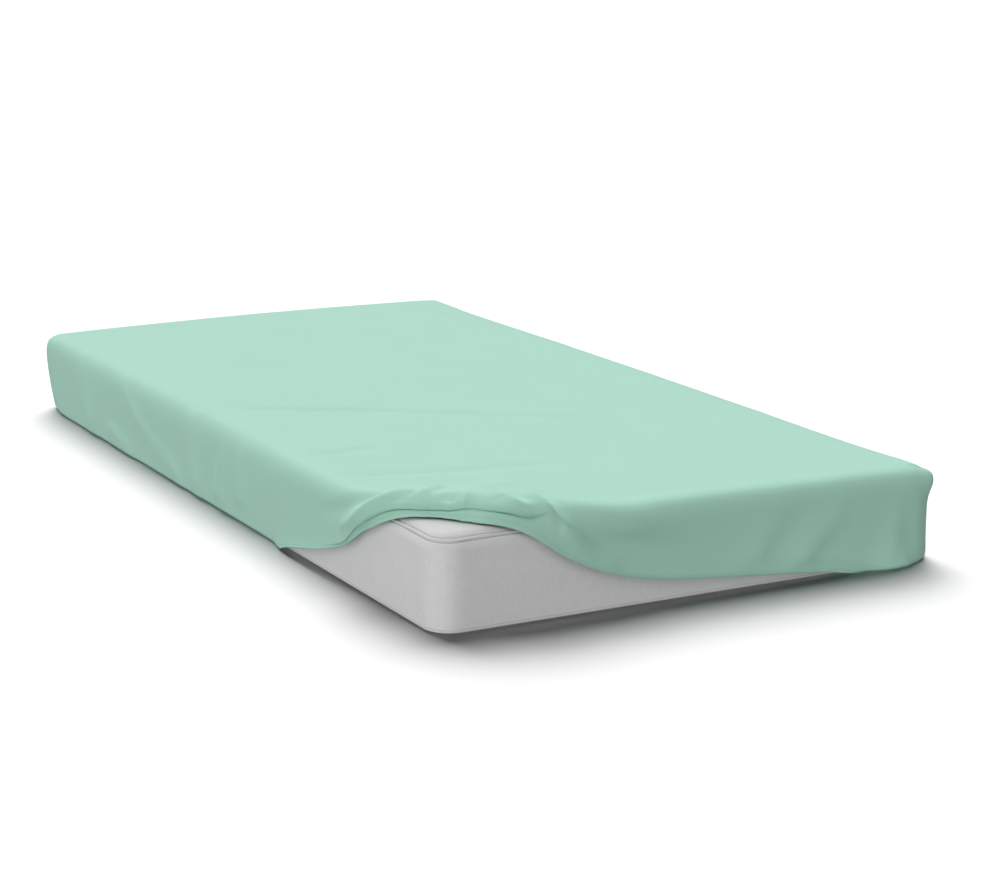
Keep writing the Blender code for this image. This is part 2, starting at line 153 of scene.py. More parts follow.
# Then how far the hem stands off, and the roll's crest and its tail's end behind the hem
ROLL_COLUMNS = ("station", "hem_rise", "crest_back", "crest_rise", "tail_back")
ROLL = (
    (-0.68, 0.0, 0.15, 0.0, 0.28), (-0.64, 0.006, 0.15, 0.001, 0.27),
    (-0.6, 0.01, 0.14, 0.002, 0.25), (-0.563, 0.012, 0.13, 0.002, 0.23),
    (-0.43, 0.012, 0.11, 0.005, 0.2), (-0.344, 0.01, 0.09, 0.007, 0.18),
    (-0.292, 0.008, 0.078, 0.01, 0.17), (-0.243, 0.006, 0.062, 0.013, 0.18),
    (-0.199, 0.005, 0.046, 0.0215, 0.195), (-0.164, 0.0035, 0.04, 0.0265, 0.215),
    (-0.121, 0.003, 0.036, 0.031, 0.24), (-0.069, 0.0025, 0.032, 0.036, 0.26),
    (0.0, 0.002, 0.03, 0.041, 0.28), (0.06, 0.0016, 0.034, 0.0425, 0.29),
    (0.124, 0.003, 0.036, 0.0405, 0.27), (0.16, 0.0055, 0.045, 0.0345, 0.25),
    (0.199, 0.007, 0.06, 0.028, 0.22), (0.243, 0.009, 0.076, 0.02, 0.19),
    (0.286, 0.01, 0.084, 0.014, 0.165), (0.35, 0.011, 0.092, 0.01, 0.16),
    (0.42, 0.0125, 0.112, 0.006, 0.18), (0.567, 0.0125, 0.13, 0.002, 0.22),
    (0.732, 0.012, 0.13, 0.001, 0.24), (0.795, 0.012, 0.14, 0.002, 0.25),
    (0.83, 0.006, 0.14, 0.003, 0.26), (0.87, 0.0, 0.145, 0.002, 0.28),
    (0.905, 0.0, 0.15, 0.001, 0.28), (0.96, 0.0, 0.15, 0.0, 0.28),
)

# How sharply the roll folds back over the band at the crease, from 0, not at all, to 1
TUCK_COLUMNS = ("station", "sharpness")
TUCK = (
    (-0.420, 0.0), (-0.345, 0.35), (-0.300, 0.8), (-0.250, 1.0), (0.000, 1.0), (0.045, 0.9),
    (0.060, 0.8), (0.100, 1.0), (0.145, 0.95), (0.165, 0.6), (0.182, 0.15), (0.200, 0.0),
)
# The folded crease itself, from the band's end in under the roll and out again
TUCK_PATH_COLUMNS = ("back", "rise")
TUCK_PATH = (
    (0.0028, -0.0003), (0.0044, 0.0004), (0.0048, 0.0014), (0.0036, 0.0026), (0.0010, 0.0034),
    (-0.0006, 0.0046),
)
# The step between its points while it isn't folded, the gap to the roll's face, how steeply the
# face climbs, and how far the fold lifts its foot
TUCK_STEP = 0.0004
FACE_GAP = 0.002
FACE_POWER = 0.7
TUCK_LIFT = 0.0030
TUCK_LIFT_REACH = 0.008
TUCK_FADE = 0.012

# Folds: each one runs along its points and rises above the tight cloth, or sinks into its slack
# where the rise is negative.  It fades to its left and right, looking along it, and is gone at
# FOLD_REACH times that width.
FOLD_REACH = 2.6
FOLD_COLUMNS = ("station", "drop", "rise", "left", "right")
FOLDS = (
    # At the near corner
    ((0.15, -0.07, 0.0015, 0.007, 0.015), (0.17, -0.025, 0.006, 0.007, 0.015),
     (0.183, 0.0045, 0.0105, 0.006, 0.015), (0.19, 0.018, 0.012, 0.006, 0.014),
     (0.202, 0.0285, 0.0112, 0.006, 0.013), (0.218, 0.038, 0.009, 0.007, 0.013),
     (0.2425, 0.053, 0.006, 0.009, 0.014), (0.272, 0.074, 0.0015, 0.01, 0.015)),
    ((0.2, -0.01, -0.0033, 0.014, 0.008), (0.222, 0.018, -0.0066, 0.018, 0.01),
     (0.262, 0.045, -0.0077, 0.022, 0.014), (0.33, 0.07, -0.0044, 0.024, 0.018),
     (0.4, 0.085, -0.0011, 0.026, 0.02)),
    ((0.06, -0.075, 0.0011, 0.009, 0.011), (0.1, -0.035, 0.0034, 0.009, 0.011),
     (0.13, -0.006, 0.0045, 0.009, 0.011), (0.147, 0.013, 0.0062, 0.008, 0.01),
     (0.17, 0.02, 0.0062, 0.008, 0.01), (0.191, 0.025, 0.0045, 0.008, 0.01)),
    ((0.085, -0.07, -0.0029, 0.012, 0.012), (0.11, -0.045, -0.0065, 0.012, 0.012),
     (0.135, -0.02, -0.0065, 0.012, 0.012), (0.16, 0.002, -0.0029, 0.01, 0.01)),
    ((0.05, -0.038, 0.001, 0.006, 0.006), (0.02, -0.053, 0.002, 0.006, 0.006),
     (-0.01, -0.066, 0.0025, 0.006, 0.006), (-0.045, -0.073, 0.0025, 0.007, 0.008)),
    ((-0.05, -0.059, -0.0058, 0.012, 0.012), (-0.025, -0.062, -0.007, 0.012, 0.012)),
    ((-0.104, -0.088, 0.0039, 0.012, 0.012), (-0.1, -0.066, 0.0078, 0.012, 0.012),
     (-0.114, -0.028, 0.0069, 0.011, 0.011), (-0.133, 0.004, 0.003, 0.011, 0.011)),
    ((-0.317, 0.078, 0.004, 0.01, 0.01), (-0.25, 0.047, 0.01, 0.01, 0.01),
     (-0.214, 0.033, 0.012, 0.01, 0.01), (-0.17, 0.012, 0.012, 0.01, 0.01),
     (-0.15, -0.002, 0.009, 0.01, 0.01), (-0.125, -0.03, 0.0025, 0.01, 0.01)),
    ((-0.4, 0.074, -0.003, 0.014, 0.014), (-0.325, 0.048, -0.009, 0.013, 0.013),
     (-0.2275, 0.013, -0.012, 0.012, 0.012), (-0.189, -0.01, -0.01, 0.012, 0.012),
     (-0.16, -0.03, -0.0035, 0.012, 0.012)),
    ((0.235, 0.01, 0.0036, 0.029, 0.019), (0.281, 0.031, 0.0081, 0.029, 0.019),
     (0.325, 0.0415, 0.0081, 0.029, 0.019), (0.374, 0.053, 0.0063, 0.026, 0.019),
     (0.422, 0.067, 0.0018, 0.022, 0.019)),
    ((0.189, 0.03, -0.002, 0.007, 0.007), (0.207, 0.037, -0.004, 0.007, 0.007)),
    ((0.241, 0.074, 0.002, 0.014, 0.014), (0.307, 0.108, 0.003, 0.016, 0.016)),
    # Down the long side at -X
    ((-1.47, 0.04, 0.0019, 0.02, 0.03), (-1.34, 0.096, 0.0067, 0.014, 0.03),
     (-1.24, 0.136, 0.0038, 0.014, 0.03)),
    ((-1.24, 0.128, 0.0019, 0.014, 0.024), (-1.13, 0.16, 0.0057, 0.014, 0.024)),
    ((-1.52, 0.145, 0.0057, 0.012, 0.03), (-1.42, 0.168, 0.0038, 0.012, 0.03)),
    ((-0.87, 0.06, 0.0027, 0.018, 0.022), (-0.905, 0.15, 0.0096, 0.018, 0.022)),
    ((-0.785, 0.05, 0.0027, 0.018, 0.02), (-0.8, 0.135, 0.0082, 0.018, 0.02)),
    ((-1.06, 0.05, 0.0027, 0.024, 0.03), (-1.03, 0.15, 0.0082, 0.024, 0.03)),
    ((-1.72, 0.04, 0.0027, 0.03, 0.03), (-1.66, 0.15, 0.0082, 0.03, 0.03)),
    # Down the short side at -Y
    ((0.775, 0.075, 0.0028, 0.018, 0.03), (0.7, 0.14, 0.007, 0.018, 0.03)),
    ((0.66, 0.055, 0.0014, 0.02, 0.035), (0.6, 0.125, 0.0042, 0.02, 0.035)),
    ((0.905, 0.08, 0.0014, 0.02, 0.03), (0.89, 0.145, 0.0056, 0.02, 0.03)),
    # Down the other two sides
    ((1.06, 0.03, 0.001, 0.02, 0.02), (1.13, 0.15, 0.004, 0.03, 0.03)),
    ((1.5, 0.06, 0.002, 0.04, 0.04), (1.42, 0.15, 0.004, 0.04, 0.04)),
    ((1.9, 0.04, 0.001, 0.035, 0.035), (1.96, 0.15, 0.003, 0.035, 0.035)),
    ((2.3, 0.05, 0.002, 0.04, 0.04), (2.38, 0.15, 0.004, 0.04, 0.04)),
    ((2.82, 0.03, 0.001, 0.022, 0.022), (2.74, 0.15, 0.004, 0.03, 0.03)),
    ((3.02, 0.03, 0.001, 0.022, 0.022), (3.1, 0.15, 0.004, 0.03, 0.03)),
    ((3.42, 0.06, 0.001, 0.035, 0.035), (3.37, 0.15, 0.003, 0.035, 0.035)),
    ((3.8, 0.03, 0.001, 0.022, 0.022), (3.73, 0.15, 0.004, 0.03, 0.03)),
    ((-2.6, 0.165, 0.014, 0.08, 0.08), (-2.4, 0.165, 0.014, 0.08, 0.08)),
    # At the far end of the long side at -X
    ((-1.96, 0.03, 0.001, 0.02, 0.02), (-1.88, 0.15, 0.003, 0.03, 0.03)),
    # Where the hem leaves the tuck beside the corner at +X
    ((0.83, 0.185, 0.003, 0.03, 0.03), (0.88, 0.188, 0.013, 0.03, 0.03),
     (0.915, 0.188, 0.014, 0.03, 0.03), (0.955, 0.186, 0.003, 0.03, 0.03)),
)

# Soft creases pressed into the top, as troughs along their points, in the frame's X and Y
CREASE_COLUMNS = ("x", "y", "depth", "half_width")
CREASES = (
    ((-0.44, -0.004, 0.0013, 0.02), (-0.373, -0.027, 0.0046, 0.018),
     (-0.328, -0.071, 0.0052, 0.018), (-0.242, -0.118, 0.0052, 0.018),
     (-0.087, -0.241, 0.0046, 0.02), (0.084, -0.372, 0.0039, 0.022),
     (0.246, -0.547, 0.0007, 0.026)),
    ((-0.47, -0.422, 0.0013, 0.016), (-0.421, -0.418, 0.0039, 0.016),
     (-0.363, -0.422, 0.0033, 0.018), (-0.296, -0.45, 0.0007, 0.02)),
    ((-0.46, -0.592, 0.0013, 0.016), (-0.409, -0.602, 0.0033, 0.016),
     (-0.256, -0.651, 0.0033, 0.018), (-0.13, -0.677, 0.0026, 0.02),
     (-0.059, -0.698, 0.0004, 0.02)),
)

# How far the cloth's stiffness evens out the hem's tables along it, and in what shares
HEM_SOFTENING = 0.007
HEM_SHARES = ((-2, 1 / 9), (-1, 2 / 9), (0, 3 / 9), (1, 2 / 9), (2, 1 / 9))

# Rows of the sheet's mesh, from the tail's end to the hem, shared out by length and by turn
TAIL_ROWS = 22
FACE_ROWS = 30
BAND_ROWS = 7
FINE_POINTS = 240
LENGTH_PER_SHARE = 0.02
TURN_PER_SHARE = math.radians(20)

# Steps between the sheet's lines: as far round as it is pulled up, along the sides from there,
# and beside and on each corner seam
PULLED_UP = 0.46
PULLED_UP_STEP = 0.0033
SHORT_SIDE_STEP = 0.010
LONG_SIDE_START = 1.90
LONG_SIDE_STEP = 0.014
FAR_SIDE_STEP = 0.034
BESIDE_SEAM = 0.075
BESIDE_SEAM_STEP = 0.007
ON_SEAM = 0.008
ON_SEAM_STEP = 0.0016

# Points of the sheet's top: their step, the step near a crease, the way between rows as a share
# of a step, and the clearances as shares of TOP_STEP
TOP_STEP = 0.015
CREASE_STEP = 0.0075
CREASE_REACH = 0.045
ROW_SHARE = 0.866
TOP_CLEARANCE = 0.55
CREASE_CLEARANCE = 0.6
JOIN_CLEARANCE = 0.4
# Two points nearer than this are one, and a line that climbs less than this is level
SAME_POINT = 1e-7
LEVEL = 1e-12

# Rows of the mattress's mesh, and the steps between its lines, closer where it is bared
SHOULDER_ROWS = 61
BORDER_ROWS = 26
BOTTOM_ROWS = 33
BARED_CORNER = 0.06
BARED_CORNER_STEP = 0.005
BARED_SHORT_SIDE = 0.75
BARED_LONG_SIDE = 0.9
BARED_SIDE_STEP = 0.012
COVERED_SHORT_STEP = 0.04
COVERED_STEP = 0.05
ARC_STEP = 0.008
CAP_STEP = 0.05
CAP_CLEARANCE = 0.02

# Pitches of the cloths' weaves
WALE_PITCH = 0.0011
COURSE_PITCH = 0.0008
TICKING_PITCH = 0.0016
TAPE_PITCH = 0.0014

# The photograph's camera, and the floor's level
CAMERA_AT = (-2.2195, -4.4279, 1.2316)
CAMERA_YAW = 0.4918
CAMERA_PITCH = 0.2309
CAMERA_LENS = 89.47
SENSOR_WIDTH = 36.0
CAMERA_CLIP_END = 200.0
FLOOR_Z = -0.0006

# Lights from far off: strength, softness in degrees, the way each shines, what it lights, and
# whether the floor stops it.  The bedding and the floor have their own, as on a lit table.
LIGHTS = (
    ("bedding_above", 1.25, 120.0, (0.0, 0.0, -1.0), "bedding", True),
    ("bedding_behind", 1.66, 55.0, (-0.33, -0.91, -1.0), "bedding", True),
    ("bedding_front", 0.95, 130.0, (0.82, 0.57, 0.0), "bedding", True),
    ("bedding_long_side", 0.66, 60.0, (0.87, -0.50, 0.0), "bedding", True),
    ("bedding_short_side", 0.48, 60.0, (-0.50, 0.87, 0.0), "bedding", True),
    ("bedding_below", 0.60, 100.0, (0.70, 0.48, 0.50), "bedding", False),
    ("floor_high", 5.05, 54.0, (-0.50, -0.92, -1.30), "floor", True),
    ("floor_low", 2.45, 44.0, (-0.22, -1.0, -0.75), "floor", True),
)

# Measures that follow: a corner's arc, the way round, and the drops where the cloth's parts end
QUARTER = PLAN_RADIUS * math.pi / 2
PERIMETER = 2 * (WIDTH + LENGTH - 4 * PLAN_RADIUS) + 4 * QUARTER
EDGE_END = CLOTH_EDGE_RADIUS * math.pi / 2
WALL_END = EDGE_END + CLOTH_TOP_Z - CLOTH_EDGE_RADIUS - CLOTH_FOOT_RADIUS - FOOT_DROP_SPARE
FOOT_END = WALL_END + CLOTH_FOOT_RADIUS * math.pi / 2
STRAIGHT_STATION = 1.5 * QUARTER + WIDTH + LENGTH / 2 - 3 * PLAN_RADIUS

# The three corners that the sheet still holds: the station, how far the seam's ear stands out at
# the top edge, and how far the tucked hem pulls the corner in at the floor
CORNERS = (
    (WIDTH - 2 * PLAN_RADIUS + QUARTER, 0.013, 0.000),
    (WIDTH + LENGTH - 4 * PLAN_RADIUS + 2 * QUARTER, 0.002, 0.020),
    (2 * WIDTH + LENGTH - 6 * PLAN_RADIUS + 3 * QUARTER - PERIMETER, 0.005, 0.018),
)


# Sizes and colours that a user would change

class SheetSettings(bpy.types.PropertyGroup):
    """The fitted sheet."""

    thickness: bpy.props.FloatProperty(
        name="Cloth thickness", description="Thickness of the knitted cloth",
        default=0.0016, min=0.0005, max=0.003, unit="LENGTH")
    colour: bpy.props.FloatVectorProperty(
        name="Cloth colour", description="Colour of the knitted cloth",
        default=(0.456, 0.788, 0.642), size=3, subtype="COLOR")
    crease_scale: bpy.props.FloatProperty(
        name="Crease depth", description="Depth of the creases on the top, as a share of their own",
        default=1.0, min=0.0, max=2.0, subtype="FACTOR")


class StitchSettings(bpy.types.PropertyGroup):
    """The sewing on the hem and the corner seams."""

    pitch: bpy.props.FloatProperty(
        name="Stitch pitch", description="Distance from one stitch to the next",
        default=0.0042, min=0.002, max=0.01, unit="LENGTH")
    length: bpy.props.FloatProperty(
        name="Stitch length", description="Length of thread that shows in a stitch",
        default=0.0030, min=0.001, max=0.008, unit="LENGTH")
    thread: bpy.props.FloatProperty(
        name="Thread width", description="Width of the thread",
        default=0.0006, min=0.0002, max=0.002, unit="LENGTH")
    hem_inset: bpy.props.FloatProperty(
        name="Hem inset", description="Distance of the stitches from the hem's edge",
        default=0.0070, min=0.002, max=0.02, unit="LENGTH")


class MattressSettings(bpy.types.PropertyGroup):
    """The mattress."""

    panel_colour: bpy.props.FloatVectorProperty(
        name="Panel colour", description="Colour of the top and bottom panels",
        default=(0.78, 0.78, 0.785), size=3, subtype="COLOR")
    border_colour: bpy.props.FloatVectorProperty(
        name="Border colour", description="Colour of the mesh cloth round the sides",
        default=(0.97, 0.97, 0.975), size=3, subtype="COLOR")
    mesh_pitch: bpy.props.FloatProperty(
        name="Mesh pitch",
        description="Distance between the rows of holes in the border's mesh cloth",
        default=0.0036, min=0.001, max=0.01, unit="LENGTH")


class PipingSettings(bpy.types.PropertyGroup):
    """The pipings round the mattress."""

    colour: bpy.props.FloatVectorProperty(
        name="Piping colour", description="Colour of the woven tape round the cords",
        default=(0.88, 0.88, 0.885), size=3, subtype="COLOR")
    sides: bpy.props.IntProperty(
        name="Piping sides", description="Number of flats round a piping",
        default=14, min=6, max=32)


class StageSettings(bpy.types.PropertyGroup):
    """The floor and the lights."""

    floor_size: bpy.props.FloatProperty(
        name="Floor size", description="Length of the floor's sides",
        default=120.0, min=4.0, unit="LENGTH")
    floor_colour: bpy.props.FloatVectorProperty(
        name="Floor colour", description="Colour of the floor",
        default=(0.62, 0.62, 0.62), size=3, subtype="COLOR")
    sky_strength: bpy.props.FloatProperty(
        name="Sky strength", description="Strength of the even light from all round",
        default=0.01, min=0.0)
    light_strength: bpy.props.FloatProperty(
        name="Light strength", description="Strength of the broad lights, as a share of their own",
        default=1.0, min=0.0, max=4.0, subtype="FACTOR")


# The run of the cloth

def crown(x, y, z):
    """How far the soft filling lifts a point, most at the top's middle and not at the floor."""
    across = CROWN_ACROSS * np.maximum(0.0, 1 - (2 * x / WIDTH) ** 2)
    along = CROWN_ALONG * np.maximum(0.0, 1 - (2 * y / LENGTH) ** 2)
    return (across + along) * (z / TOP_Z) ** 2


def read_table(rows, columns):
    """A table's columns by name."""
    return dict(zip(columns, np.array(rows).T))


def runs_of(runs, columns):
    """The columns by name of each of several runs of points."""
    return [read_table(run, columns) for run in runs]


def between_rows(at, places, values):
    """Values between a table's rows, on a curve that passes through them and never overshoots."""
    steps = np.diff(places)
    slopes = np.diff(values) / steps
    bends = np.zeros(len(places))
    same_way = slopes[:-1] * slopes[1:] > 0
    means = 2 * slopes[:-1] * slopes[1:] / np.where(same_way, slopes[:-1] + slopes[1:], 1.0)
    bends[1:-1] = np.where(same_way, means, 0.0)
    at = np.clip(at, places[0], places[-1])
    row = np.clip(np.searchsorted(places, at, side="right") - 1, 0, len(steps) - 1)
    t = (at - places[row]) / steps[row]
    start = (1 + 2 * t) * (1 - t) ** 2 * values[row] + t * (1 - t) ** 2 * steps[row] * bends[row]
    end = t * t * (3 - 2 * t) * values[row + 1] - t * t * (1 - t) * steps[row] * bends[row + 1]
    return start + end


def ease(t):
    """A smooth step from 0 to 1."""
    t = np.clip(t, 0.0, 1.0)
    return t * t * (3 - 2 * t)


def turn_at(drop):
    """The turn of the tight cloth round the top edge, from 0 on the top to a quarter turn."""
    return np.clip(drop / CLOTH_EDGE_RADIUS, 0.0, math.pi / 2)


def wrapped(way):
    """A way round from a place, by the shorter way."""
    return (way + PERIMETER / 2) % PERIMETER - PERIMETER / 2


def outline(station):
    """Plan points of the mattress's outline and the outward directions there."""
    way = (station + QUARTER / 2) % PERIMETER
    half = np.array((WIDTH / 2 - PLAN_RADIUS, LENGTH / 2 - PLAN_RADIUS))
    point = np.zeros(way.shape + (2,))
    out = np.zeros(way.shape + (2,))
    start = 0.0
    for corner, signs in enumerate(((-1, -1), (1, -1), (1, 1), (-1, 1))):
        run = (WIDTH, LENGTH)[corner % 2] - 2 * PLAN_RADIUS
        turned = np.clip((way - start) / PLAN_RADIUS, 0.0, math.pi / 2)
        angle = math.pi * (1 + corner / 2) + turned
        direction = np.stack((np.cos(angle), np.sin(angle)), axis=-1)
        onward = np.stack((-direction[..., 1], direction[..., 0]), axis=-1)
        passed = np.maximum(0.0, way - start - QUARTER)[..., None]
        here = (way >= start)[..., None]
        point = np.where(here, half * signs + PLAN_RADIUS * direction + passed * onward, point)
        out = np.where(here, direction, out)
        start += QUARTER + run
    return point, out


def lay(station, drop, rise):
    """Cloth points at a station and drop, standing off by the rise."""
    point, out = outline(station)
    edge = point - out * (CLOTH_EDGE_RADIUS - CLOTH_WALL_OUT)
    spine = np.stack((0 * edge[..., 0], np.clip(edge[..., 1], -SPINE_HALF, SPINE_HALF)), axis=-1)
    inward = (spine - edge) / np.linalg.norm(spine - edge, axis=-1, keepdims=True)
    turned = turn_at(drop)
    foot = np.clip((drop - WALL_END) / CLOTH_FOOT_RADIUS, 0.0, math.pi / 2)
    radius = CLOTH_EDGE_RADIUS + rise
    outward = radius * np.sin(turned) - CLOTH_FOOT_RADIUS * (1 - np.cos(foot))
    outward = outward - np.maximum(0.0, drop - FOOT_END)
    height = CLOTH_TOP_Z - CLOTH_EDGE_RADIUS + radius * np.cos(turned)
    height = height - np.clip(drop - EDGE_END, 0.0, WALL_END - EDGE_END)
    height = height - CLOTH_FOOT_RADIUS * np.sin(foot)
    plan = edge + out * outward[..., None] + inward * np.maximum(0.0, -drop)[..., None]
    height = height + crown(plan[..., 0], plan[..., 1], height)
    return np.concatenate((plan, height[..., None]), axis=-1)


def rise_of_roll(back, hem):
    """The stand-off of the band, the roll and its tail, by the way back from the hem."""
    on_band = np.clip(back / hem["crease_back"], 0.0, 1.0)
    band = hem["hem_rise"] + (hem["crease_rise"] - hem["hem_rise"]) * on_band
    on_face = (back - hem["crease_back"]) / (hem["crest_back"] - hem["crease_back"])
    climb = (1 - (1 - np.clip(on_face, 0.0, 1.0)) ** 2) ** FACE_POWER
    face = (hem["crest_rise"] - hem["crease_rise"]) * climb
    on_tail = (back - hem["crest_back"]) / (hem["tail_back"] - hem["crest_back"])
    return (band + face) * (1 - ease(on_tail))


def nearest_on_run(points, knots):
    """How far each point is from a run of knots, its offset, the way along and the run's step."""
    best = np.full(points.shape[:-1], np.inf)
    offset = np.zeros(points.shape)
    way = np.zeros(points.shape[:-1])
    onward = np.zeros(points.shape)
    for number, (start, end) in enumerate(zip(knots, knots[1:])):
        step = end - start
        along = np.clip((points - start) @ step / np.dot(step, step), 0.0, 1.0)
        off = points - start - along[..., None] * step
        length = np.linalg.norm(off, axis=-1)
        closer = length < best
        best = np.where(closer, length, best)
        offset = np.where(closer[..., None], off, offset)
        way = np.where(closer, number + along, way)
        onward = np.where(closer[..., None], step, onward)
    return best, offset, way, onward


def rise_of_folds(station, drop):
    """The stand-off of the folds, fading to the left and right of each one's line."""
    tight = lay(station, drop, 0 * drop)
    turned = turn_at(drop)
    out = outline(station)[1] * np.sin(turned)[..., None]
    normal = np.concatenate((out, np.cos(turned)[..., None]), axis=-1)
    total = 0 * drop
    for fold in runs_of(FOLDS, FOLD_COLUMNS):
        knots = lay(fold["station"], fold["drop"], 0 * fold["drop"])
        reach = FOLD_REACH * max(fold["left"].max(), fold["right"].max())
        low, high = knots.min(axis=0) - reach, knots.max(axis=0) + reach
        near = np.all((tight > low) & (tight < high), axis=-1)
        length, offset, way, onward = nearest_on_run(tight[near], knots)
        on_left = np.sum(np.cross(onward, offset) * normal[near], axis=-1) > 0
        places = np.arange(len(knots))
        left = np.interp(way, places, fold["left"])
        right = np.interp(way, places, fold["right"])
        width = np.where(on_left, left, right)
        total[near] += np.interp(way, places, fold["rise"]) * np.exp(-(length / width) ** 2)
    return total


def rise_of_ears(station, drop):
    """The stand-off of the seams' ears at the three corners that the sheet still holds."""
    total = 0 * drop
    for corner, ear, _ in CORNERS:
        across = wrapped(station - corner) / PINCH_WIDTH
        down = (drop - PINCH_DROP) / np.where(drop > PINCH_DROP, PINCH_REACH_DOWN, PINCH_REACH_UP)
        total = total + ear * np.exp(-across ** 2 - down ** 2)
    return total


def dip_of_seams(station, drop):
    """How far the sewn line of each corner seam lies below the cloth beside it."""
    total = 0 * drop
    shown = ease((drop + SEAM_FADE_START) / SEAM_FADE)
    for corner, _, _ in CORNERS:
        total = total + SEAM_DEPTH * np.exp(-(wrapped(station - corner) / SEAM_HALF) ** 2) * shown
    return total


def dip_of_edge(station, drop):
    """How far the soft filling gives along the top edges, save the near one and the corners."""
    held = ease((np.abs(wrapped(station)) - BARED_REACH) / BARED_REACH)
    for corner, _, _ in CORNERS:
        held = held * (1 - np.exp(-(wrapped(station - corner) / EDGE_HOLD) ** 2))
    out = outline(station)[1]
    sink = held * EDGE_SINK * out[..., 0] ** 2 + FAR_EDGE_SINK * np.maximum(0.0, out[..., 1])
    return sink * np.exp(-((drop - EDGE_SINK_DROP) / EDGE_SINK_REACH) ** 2)


def pulled_in(station, points):
    """Points drawn in towards the mattress at the foot of the held corners."""
    low = np.clip(1 - points[..., 2] / PULL_HEIGHT, 0.0, 1.0) ** 2
    pull = 0 * low
    for corner, _, most in CORNERS:
        pull = pull + most * np.exp(-(wrapped(station - corner) / PULL_WIDTH) ** 2)
    moved = points.copy()
    moved[..., :2] -= outline(station)[1] * (pull * low)[..., None]
    return moved


def dip_of_creases(plan, scale):
    """How far the creases lie below the top, by the plan point."""
    total = np.zeros(plan.shape[:-1])
    for crease in runs_of(CREASES, CREASE_COLUMNS):
        knots = np.stack((crease["x"], crease["y"]), axis=-1)
        length, _, way, _ = nearest_on_run(plan, knots)
        places = np.arange(len(knots))
        depth = np.interp(way, places, crease["depth"])
        half = np.interp(way, places, crease["half_width"])
        total += scale * depth * np.exp(-(length / half) ** 2)
    return total


def shared_places(places, points, count):
    """Places along lines of points, shared out evenly by length and by turn."""
    steps = np.diff(points, axis=1)
    lengths = np.linalg.norm(steps, axis=-1)
    directions = steps / lengths[..., None]
    cosines = np.clip(np.sum(directions[:, :-1] * directions[:, 1:], axis=-1), -1.0, 1.0)
    share = lengths / LENGTH_PER_SHARE
    share[:, 1:] += np.arccos(cosines) / TURN_PER_SHARE
    way = np.concatenate((np.zeros((len(share), 1)), np.cumsum(share, axis=1)), axis=1)
    even = np.linspace(0.0, 1.0, count + 1)
    picked = [np.interp(even * line[-1], line, place) for line, place in zip(way, places)]
    return np.array(picked)


def backs_between(start, end, hem, count):
    """Ways back from the hem, from one to another, closer where the profile turns."""
    places = start + (end - start) * np.linspace(0.0, 1.0, FINE_POINTS)
    straight = np.full(places.shape, STRAIGHT_STATION)
    points = lay(straight, hem["drop"] - places, rise_of_roll(places, hem))
    return shared_places(places, points, count)


def hem_at(station):
    """The hem, the crease and the roll at each station, by name, as columns."""
    hem = {}
    for rows, columns in ((HEM, HEM_COLUMNS), (ROLL, ROLL_COLUMNS), (TUCK, TUCK_COLUMNS)):
        table = read_table(rows, columns)
        for name in columns[1:]:
            hem[name] = sum(
                share * between_rows(station + way * HEM_SOFTENING, table["station"], table[name])
                for way, share in HEM_SHARES)[:, None]
    return hem


def sheet_lines(station):
    """Ways back and extra stand-off of each line's points, from the tail's end out to the hem."""
    hem = hem_at(station)
    sharp = hem["sharpness"]
    path = read_table(TUCK_PATH, TUCK_PATH_COLUMNS)
    steps = np.arange(1, len(TUCK_PATH) + 1)
    face_start = hem["crease_back"] + TUCK_STEP * (len(TUCK_PATH) + 1) + FACE_GAP * sharp
    tail = backs_between(hem["tail_back"], hem["crest_back"], hem, TAIL_ROWS)[:, :-1]
    face = backs_between(hem["crest_back"], face_start, hem, FACE_ROWS)
    flat_fold = hem["crease_back"] + TUCK_STEP * steps
    folded = hem["crease_back"] + path["back"]
    fold_back = (flat_fold + sharp * (folded - flat_fold))[:, ::-1]
    band = backs_between(hem["crease_back"], 0 * hem["crease_back"], hem, BAND_ROWS)
    back = np.concatenate((tail, face, fold_back, band), axis=1)
    lift = TUCK_LIFT * sharp * np.exp(-(face - hem["crease_back"]) / TUCK_LIFT_REACH)
    rise = rise_of_roll(back, hem)
    first_fold = tail.shape[1] + face.shape[1]
    rise[:, tail.shape[1]:first_fold] += lift
    level = rise_of_roll(flat_fold, hem)
    tucked = hem["crease_rise"] + path["rise"]
    rise[:, first_fold:first_fold + len(steps)] = (level + sharp * (tucked - level))[:, ::-1]
    return back, rise, hem


def stations_between(marks):
    """Stations from mark to mark, evenly set at about the step that each mark gives."""
    runs = []
    for (start, step), (end, _) in zip(marks, marks[1:]):
        count = max(1, round(abs(end - start) / step))
        runs.append(np.linspace(start, end, count, endpoint=False))
    return np.concatenate(runs)


def sheet_stations():
    """Stations of the sheet's lines, from the middle of the near corner and on towards +X."""
    marks = [(0.0, PULLED_UP_STEP), (PULLED_UP, SHORT_SIDE_STEP)]
    for corner, _, _ in CORNERS:
        seam = corner % PERIMETER
        marks += [(seam - BESIDE_SEAM, BESIDE_SEAM_STEP), (seam - ON_SEAM, ON_SEAM_STEP),
                  (seam + ON_SEAM, BESIDE_SEAM_STEP), (seam + BESIDE_SEAM, FAR_SIDE_STEP)]
    marks[-1] = (PERIMETER - LONG_SIDE_START, LONG_SIDE_STEP)
    marks += [(PERIMETER - PULLED_UP, PULLED_UP_STEP), (PERIMETER, 0.0)]
    return wrapped(stations_between(marks))


# Making objects

def mesh_of(name, points, faces):
    """A mesh from its points and faces."""
    mesh = bpy.data.meshes.new(name)
    mesh.from_pydata(points.tolist(), [], faces)
    mesh.update()
    mesh.shade_smooth()
    return mesh


